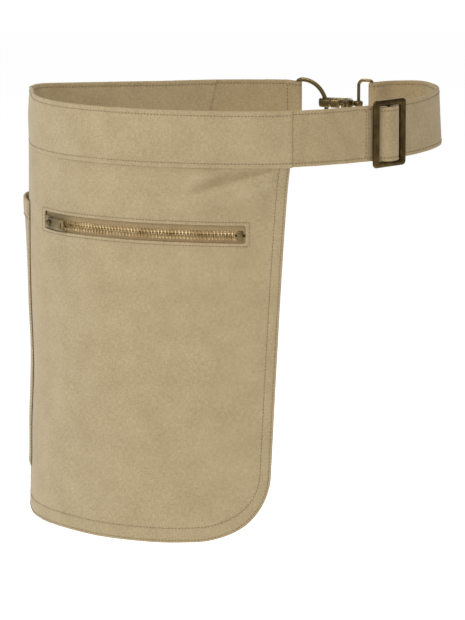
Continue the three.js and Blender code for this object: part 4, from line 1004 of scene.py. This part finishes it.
def strap_line():
    """The strap's line seen from above, from behind the band to its sewn end at the middle bar."""
    layer = STRAP_WALL + CLEAR
    bar = (ADJUSTER_AT, ADJUSTER_BACK + ADJUSTER_THICK / 2 - MIDDLE_BAR_SUNK)
    wrap = MIDDLE_BAR / 2 + CLEAR + STRAP_WALL / 2
    over = wrap + layer
    slot = ADJUSTER_WIDTH / 2 - ADJUSTER_BAR + 0.4
    left, right = (ADJUSTER_AT - slot, 0), (ADJUSTER_AT + slot, 0)
    # Over the bar the strap bulges: quickly up on its left, and flatter and then down on its right
    rising, falling = np.linspace(0, 1, 14)[1:], np.linspace(0, 1, 18)[1:]
    top = (ADJUSTER_AT - 0.4, over + bar[1] - 0.15)
    bulge = [(left[0] + (top[0] - left[0]) * t, top[1] * math.sin(math.pi / 2 * t) ** 1.3) for t in rising]
    bulge += [(top[0] + (slot - 1) * t, top[1] * (1 - t ** 3) ** 0.6) for t in falling]
    under_right = (ADJUSTER_AT + slot - 0.6, -layer)
    settle = 16
    return eased([
        (PANEL_FRONT - STRAP_TUCK, 0),
        left,
        *bulge,
        right,
        (RING_BAR_AT - settle, 0),
        (RING_BAR_AT, 0),
        *turn_at(RING_BAR_AT, -RING_FOLD, RING_FOLD, 90, -90)[1:-1],
        (RING_BAR_AT, -2 * RING_FOLD),
        (RING_BAR_AT - settle, -layer),
        under_right,
        *turn_at(*bar, wrap, touching(under_right, bar, wrap, 1), 270),
        (bar[0] + SEWN_END / 2, -2 * layer),
        (bar[0] + SEWN_END, -2 * layer),
    ])


def extension_line():
    """The other strap's line, from behind the band round the D-ring and back."""
    layer = STRAP_WALL + CLEAR
    return eased([
        (-PANEL_BACK + STRAP_TUCK, 0),
        (D_BAR_AT, 0),
        *turn_at(D_BAR_AT, D_FOLD, D_FOLD, 270, 90)[1:-1],
        (D_BAR_AT, 2 * D_FOLD),
        (D_BAR_AT + EXTENSION_RETURN / 2, layer),
        (D_BAR_AT + EXTENSION_RETURN, layer),
    ])


STRAP_CREASES = [
    # length along the strap, slant, rise, spread
    (13, 0.12, 0.6, 3.5),
    (21, 0.1, -0.5, 4),
    (50, -0.5, 0.7, 6),
    (64, -0.6, -0.5, 5),
    (125, 0.05, 0.4, 8),
    (168, 0.1, -0.4, 9),
]
SEWN_EDGE = ADJUSTER_AT - ADJUSTER_WIDTH / 2 - 3.4 - PANEL_FRONT + STRAP_TUCK
FOLD_STITCH = 12
# Lengths beside the sewn edge that the mesh needs for the step there
BESIDE_EDGE = np.array([-6, -3, -1.2, -0.4, 0, 0.15, 0.3, 0.5, 0.8, 1.4])
for name, line in (("strap", strap_line()), ("strap_extension", extension_line())):
    creases, edge = (STRAP_CREASES, SEWN_EDGE) if name == "strap" else ((), None)
    place, length = along_strap(line, creases, edge)
    rows = [[(0.5, sign * STRAP_STITCH), (length[-1] - 0.5, sign * STRAP_STITCH)] for sign in (-1, 1)]
    if name == "strap_extension":
        fold_from = -PANEL_BACK + STRAP_TUCK - D_BAR_AT
        fold_to = fold_from + math.pi * D_FOLD
        crossings = [fold_from + D_FOLD - FOLD_STITCH, fold_to - D_FOLD + FOLD_STITCH, length[-1] - 3]
    else:
        crossings = [SEWN_EDGE - 2.2]
        length = np.unique(np.concatenate([length, SEWN_EDGE + BESIDE_EDGE]))
    rows += [[(t, -STRAP_STITCH), (t, STRAP_STITCH)] for t in crossings]
    make(f"{name}_cloth", ribbon(place, length), STRAP_TWILL, replaces=[name])
    make(f"{name}_stitches", stitches(rows, place), STRAP_THREAD)

# Adjuster: a flat frame with rounded edges, and a round bar across its middle
adjuster_along = waist_at(ADJUSTER_AT)[2:]
at_adjuster = frame_at(on_waist(ADJUSTER_AT, ADJUSTER_BACK, STRAP_MIDDLE - ADJUSTER_DROP), adjuster_along)
frame_loops = [
    rounded(ADJUSTER_WIDTH, ADJUSTER_WINDOW + 2 * ADJUSTER_END_BAR, ADJUSTER_CORNER, 8),
    rounded(ADJUSTER_WIDTH - 2 * ADJUSTER_BAR, ADJUSTER_WINDOW, 0.9, 4)[::-1],
]
bar_half = ADJUSTER_WINDOW / 2 + 1
bar_line = at_adjuster(0, MIDDLE_BAR_SUNK - ADJUSTER_THICK / 2, np.linspace(-bar_half, bar_half, 12))
make(
    "adjuster_frame",
    gathered(
        slab(frame_loops, lambda u, v, side: at_adjuster(u, -(1 + side) / 2 * ADJUSTER_THICK, v), 1.1),
        tube(bar_line, MIDDLE_BAR / 2, (*adjuster_along, 0)),
    ),
    DARK_BRASS, replaces=["adjuster"],
)

# Rings and snap hook, set out from the D-ring's straight bar towards the other ring's bar
d_bar = on_waist(D_BAR_AT, D_FOLD, STRAP_MIDDLE)
ring_bar = on_waist(RING_BAR_AT, -RING_FOLD, STRAP_MIDDLE)
reach = (ring_bar - d_bar)[:2] / np.linalg.norm((ring_bar - d_bar)[:2])
at_closure = frame_at(d_bar, reach)


def ring_wire(line, wire, sides):
    line = fine(line, 1.6, closed=True)
    beside = (-reach[1], reach[0], 0)
    return tube(at_closure(line[:, 0], 0, line[:, 1]), wire / 2, beside, closed=True, sides=sides)


# The D-ring's sides slope away from its bar over the shoulder's length
D_HALF, D_SHOULDER = (D_INNER + D_WIRE) / 2, 5
d_line = np.vstack([
    arc(D_SHOULDER, -D_HALF + D_CORNER, D_SHOULDER, D_CORNER, 270, 180, 12),
    arc(D_SHOULDER, D_HALF - D_CORNER, D_SHOULDER, D_CORNER, 180, 90, 12),
    arc(D_SHOULDER, 0, D_DEPTH - D_SHOULDER, D_HALF, 90, -90, 48)[1:-1],
])
make("d_ring_wire", ring_wire(d_line, D_WIRE, 20), OLD_BRASS, replaces=["d_ring"])
ring_top, held, free = (STRAP_WIDTH + RING_WIRE) / 2 + RING_CLEAR, RING_CORNER, RING_FREE_CORNER
ring_line = np.vstack([
    turn_at(CLOSURE_REACH - held, ring_top - held, held, 0, 90, 8),
    turn_at(CLOSURE_REACH - RING_DEPTH + free, ring_top - free, free, 90, 180, 10),
    turn_at(CLOSURE_REACH - RING_DEPTH + free, free - ring_top, free, 180, 270, 10),
    turn_at(CLOSURE_REACH - held, held - ring_top, held, 270, 360, 8),
])
make("rect_ring_wire", ring_wire(ring_line, RING_WIRE, 18), OLD_BRASS, replaces=["rect_ring"])

ARM_OUT = (HOOK_WIDTH - HOOK_ARM) / 2
HOOK_TOP = HOOK_RAISE + HOOK_THICK / 2
D_REACH = D_CORNER + (D_DEPTH - D_CORNER) * math.sqrt(1 - (HOOK_TOP / D_HALF) ** 2)
NOSE_AT = D_REACH - D_WIRE / 2 - CLEAR + HOOK_WIDTH / 2 - HOOK_ARM
EYE_AT = D_DEPTH + HOOK_LENGTH - EYE_HOLE / 2 + RING_WIRE / 2 + CLEAR
BASE_TO = EYE_AT - EYE_HOLE / 2 - EYE_WALL - 1.2
BASE_FROM = BASE_TO - HOOK_BASE
TIP_AT = NOSE_AT + HOOK_TIP


def cast(outline, thick, roll, shift=(0, 0), up=0):
    """A cast piece of the hook, with rounded edges. Up is how far its middle is above the hook's."""
    middle = HOOK_RAISE + up
    return slab(
        [outline],
        lambda u, v, side: at_closure(u + shift[0], v + shift[1], middle + side * thick / 2),
        roll, spacing=1.6,
    )


def disc(radius, steps=24):
    return turn_at(0, 0, radius, 0, 360, steps)[:-1]


def upright_pin(x, y, radius, long):
    line = at_closure(x, y, HOOK_RAISE + np.linspace(-long / 2, long / 2, 5))
    return tube(line, radius, (*reach, 0))


outer, inner = HOOK_WIDTH / 2, HOOK_WIDTH / 2 - HOOK_ARM
hook_outline = np.vstack([
    [(TIP_AT, -inner)],
    turn_at(NOSE_AT, 0, inner, 270, 90, 16),
    [
        (BASE_FROM - HOOK_CHAMFER, inner), (BASE_FROM, inner - HOOK_CHAMFER), (BASE_FROM, -ARM_OUT),
        (BASE_TO - 2 * HOOK_CHAMFER, -ARM_OUT), (BASE_TO, -ARM_OUT / 3), (BASE_TO, ARM_OUT / 3),
        (BASE_TO - 2 * HOOK_CHAMFER, outer),
    ],
    turn_at(NOSE_AT, 0, outer, 90, 270, 22),
    [(TIP_AT, -outer)],
])
# The gate's pin goes through a cheek above and one below the gate's knuckle
cheek = (HOOK_THICK - GATE_KNUCKLE) / 2 - CLEAR
cheek_up = (HOOK_THICK - cheek) / 2
at_gate = (BASE_FROM, -ARM_OUT)
make(
    "hook_cast_body",
    gathered(
        cast(hook_outline, HOOK_THICK, 0.7),
        cast(disc(KNUCKLE), cheek, 0.6, at_gate, cheek_up),
        cast(disc(KNUCKLE), cheek, 0.6, at_gate, -cheek_up),
        upright_pin(*at_gate, GATE_PIN / 2, HOOK_THICK + 0.4),
    ),
    OLD_BRASS, replaces=["hook_body"],
)
tip, heel, half = TIP_AT + CLEAR - BASE_FROM, -KNUCKLE - 2 * GATE_GAP, HOOK_ARM / 2
gate_outline = box_corners(tip, -half, heel, half)
tongue = np.vstack([
    turn_at(0, 0, KNUCKLE - 0.2, -90, 90, 12),
    [(heel - 1, half / 2), (heel - 1, -half / 2)],
])
make(
    "hook_gate_lever",
    gathered(cast(gate_outline, HOOK_THICK, 0.5, at_gate), cast(tongue, GATE_KNUCKLE, 0.4, at_gate)),
    OLD_BRASS, body="gate", replaces=["hook_gate"],
)
eye = disc((EYE_HOLE + EYE_WALL) / 2, 32) + (EYE_AT, 0)
stem_to = EYE_AT - EYE_HOLE / 2 - EYE_WALL / 2
stem = np.linspace(BASE_TO - STEM_DEPTH, stem_to, 6)
collar = np.linspace(BASE_TO + 0.3, stem_to, 6)
COLLAR = np.array([2.5, 2.7, 2.6, 2.3, 2.0, 1.7])
UPWARD = (0, 0, 1)
make(
    "swivel_eye_ring",
    gathered(
        tube(at_closure(eye[:, 0], eye[:, 1], HOOK_RAISE), EYE_WALL / 2, UPWARD, closed=True, squash=2.3),
        tube(at_closure(stem, 0, HOOK_RAISE), STEM / 2, UPWARD),
        tube(at_closure(collar, 0, HOOK_RAISE), COLLAR, UPWARD),
    ),
    OLD_BRASS, replaces=["swivel_eye"],
)


# Floor, soft studio light and a white surround
def painted(name, code, glow):
    """Matt paint that glows a little, as a lit studio floor does."""
    return fresh(name, {
        "Base Color": linear(code), "Roughness": 0.9, "Specular IOR Level": 0.1,
        "Emission Color": linear(code), "Emission Strength": glow,
    })[0]


FLOOR_HALF, FLOOR_Z = 6, -0.62
floor_corners = [(x, y, FLOOR_Z) for x, y in box_corners(-FLOOR_HALF, -FLOOR_HALF, FLOOR_HALF, FLOOR_HALF)]
floor_mesh = bpy.data.meshes.new("floor")
floor_mesh.from_pydata(floor_corners, [], [(0, 1, 2, 3)])
floor_mesh.materials.append(painted("painted_floor", "fafafa", glow=0.72))
floor = bpy.data.objects.new("floor", floor_mesh)
bpy.context.scene.collection.objects.link(floor)


def softbox(name, place, aim, size, watts, tint="ffffff"):
    lamp = bpy.data.lights.new(name, "AREA")
    lamp.shape, lamp.size, lamp.energy = "SQUARE", size, watts
    lamp.color = linear(tint)[:3]
    made = bpy.data.objects.new(name, lamp)
    made.location = place
    made.rotation_euler = (Vector(aim) - Vector(place)).to_track_quat("-Z", "Y").to_euler()
    bpy.context.scene.collection.objects.link(made)


softbox("key", (-0.75, -1.15, 1.15), (0, 0, -0.1), 0.7, 9.0, "fff6ea")
softbox("top", (-0.3, -0.6, 2.2), (0, 0.05, 0), 0.9, 20)
softbox("fill", (1.3, -1.0, 0.6), (0.1, 0, 0), 0.8, 1.0, "ffe9cc")
softbox("back", (0.7, 1.8, 0.9), (0, 0, -0.1), 0.9, 9, "fff8ee")
softbox("side", (-1.6, 0.2, 0.3), (0, 0, -0.1), 0.8, 5.6, "d8e5ff")

# The surround looks white, and lights the apron at under a third of that
world = bpy.data.worlds.new("surround")
bpy.context.scene.world = world
world.use_nodes = True
sky = world.node_tree
seen = add(sky, "ShaderNodeLightPath").outputs["Is Camera Ray"]
white = add(sky, "ShaderNodeMapRange", {"To Min": 0.3, "To Max": 1.1}, {"Value": seen})
sky.nodes["Background"].inputs["Color"].default_value = (1, 1, 1, 1)
sky.links.new(white.outputs[0], sky.nodes["Background"].inputs["Strength"])
bpy.context.scene.view_settings.view_transform = "Standard"
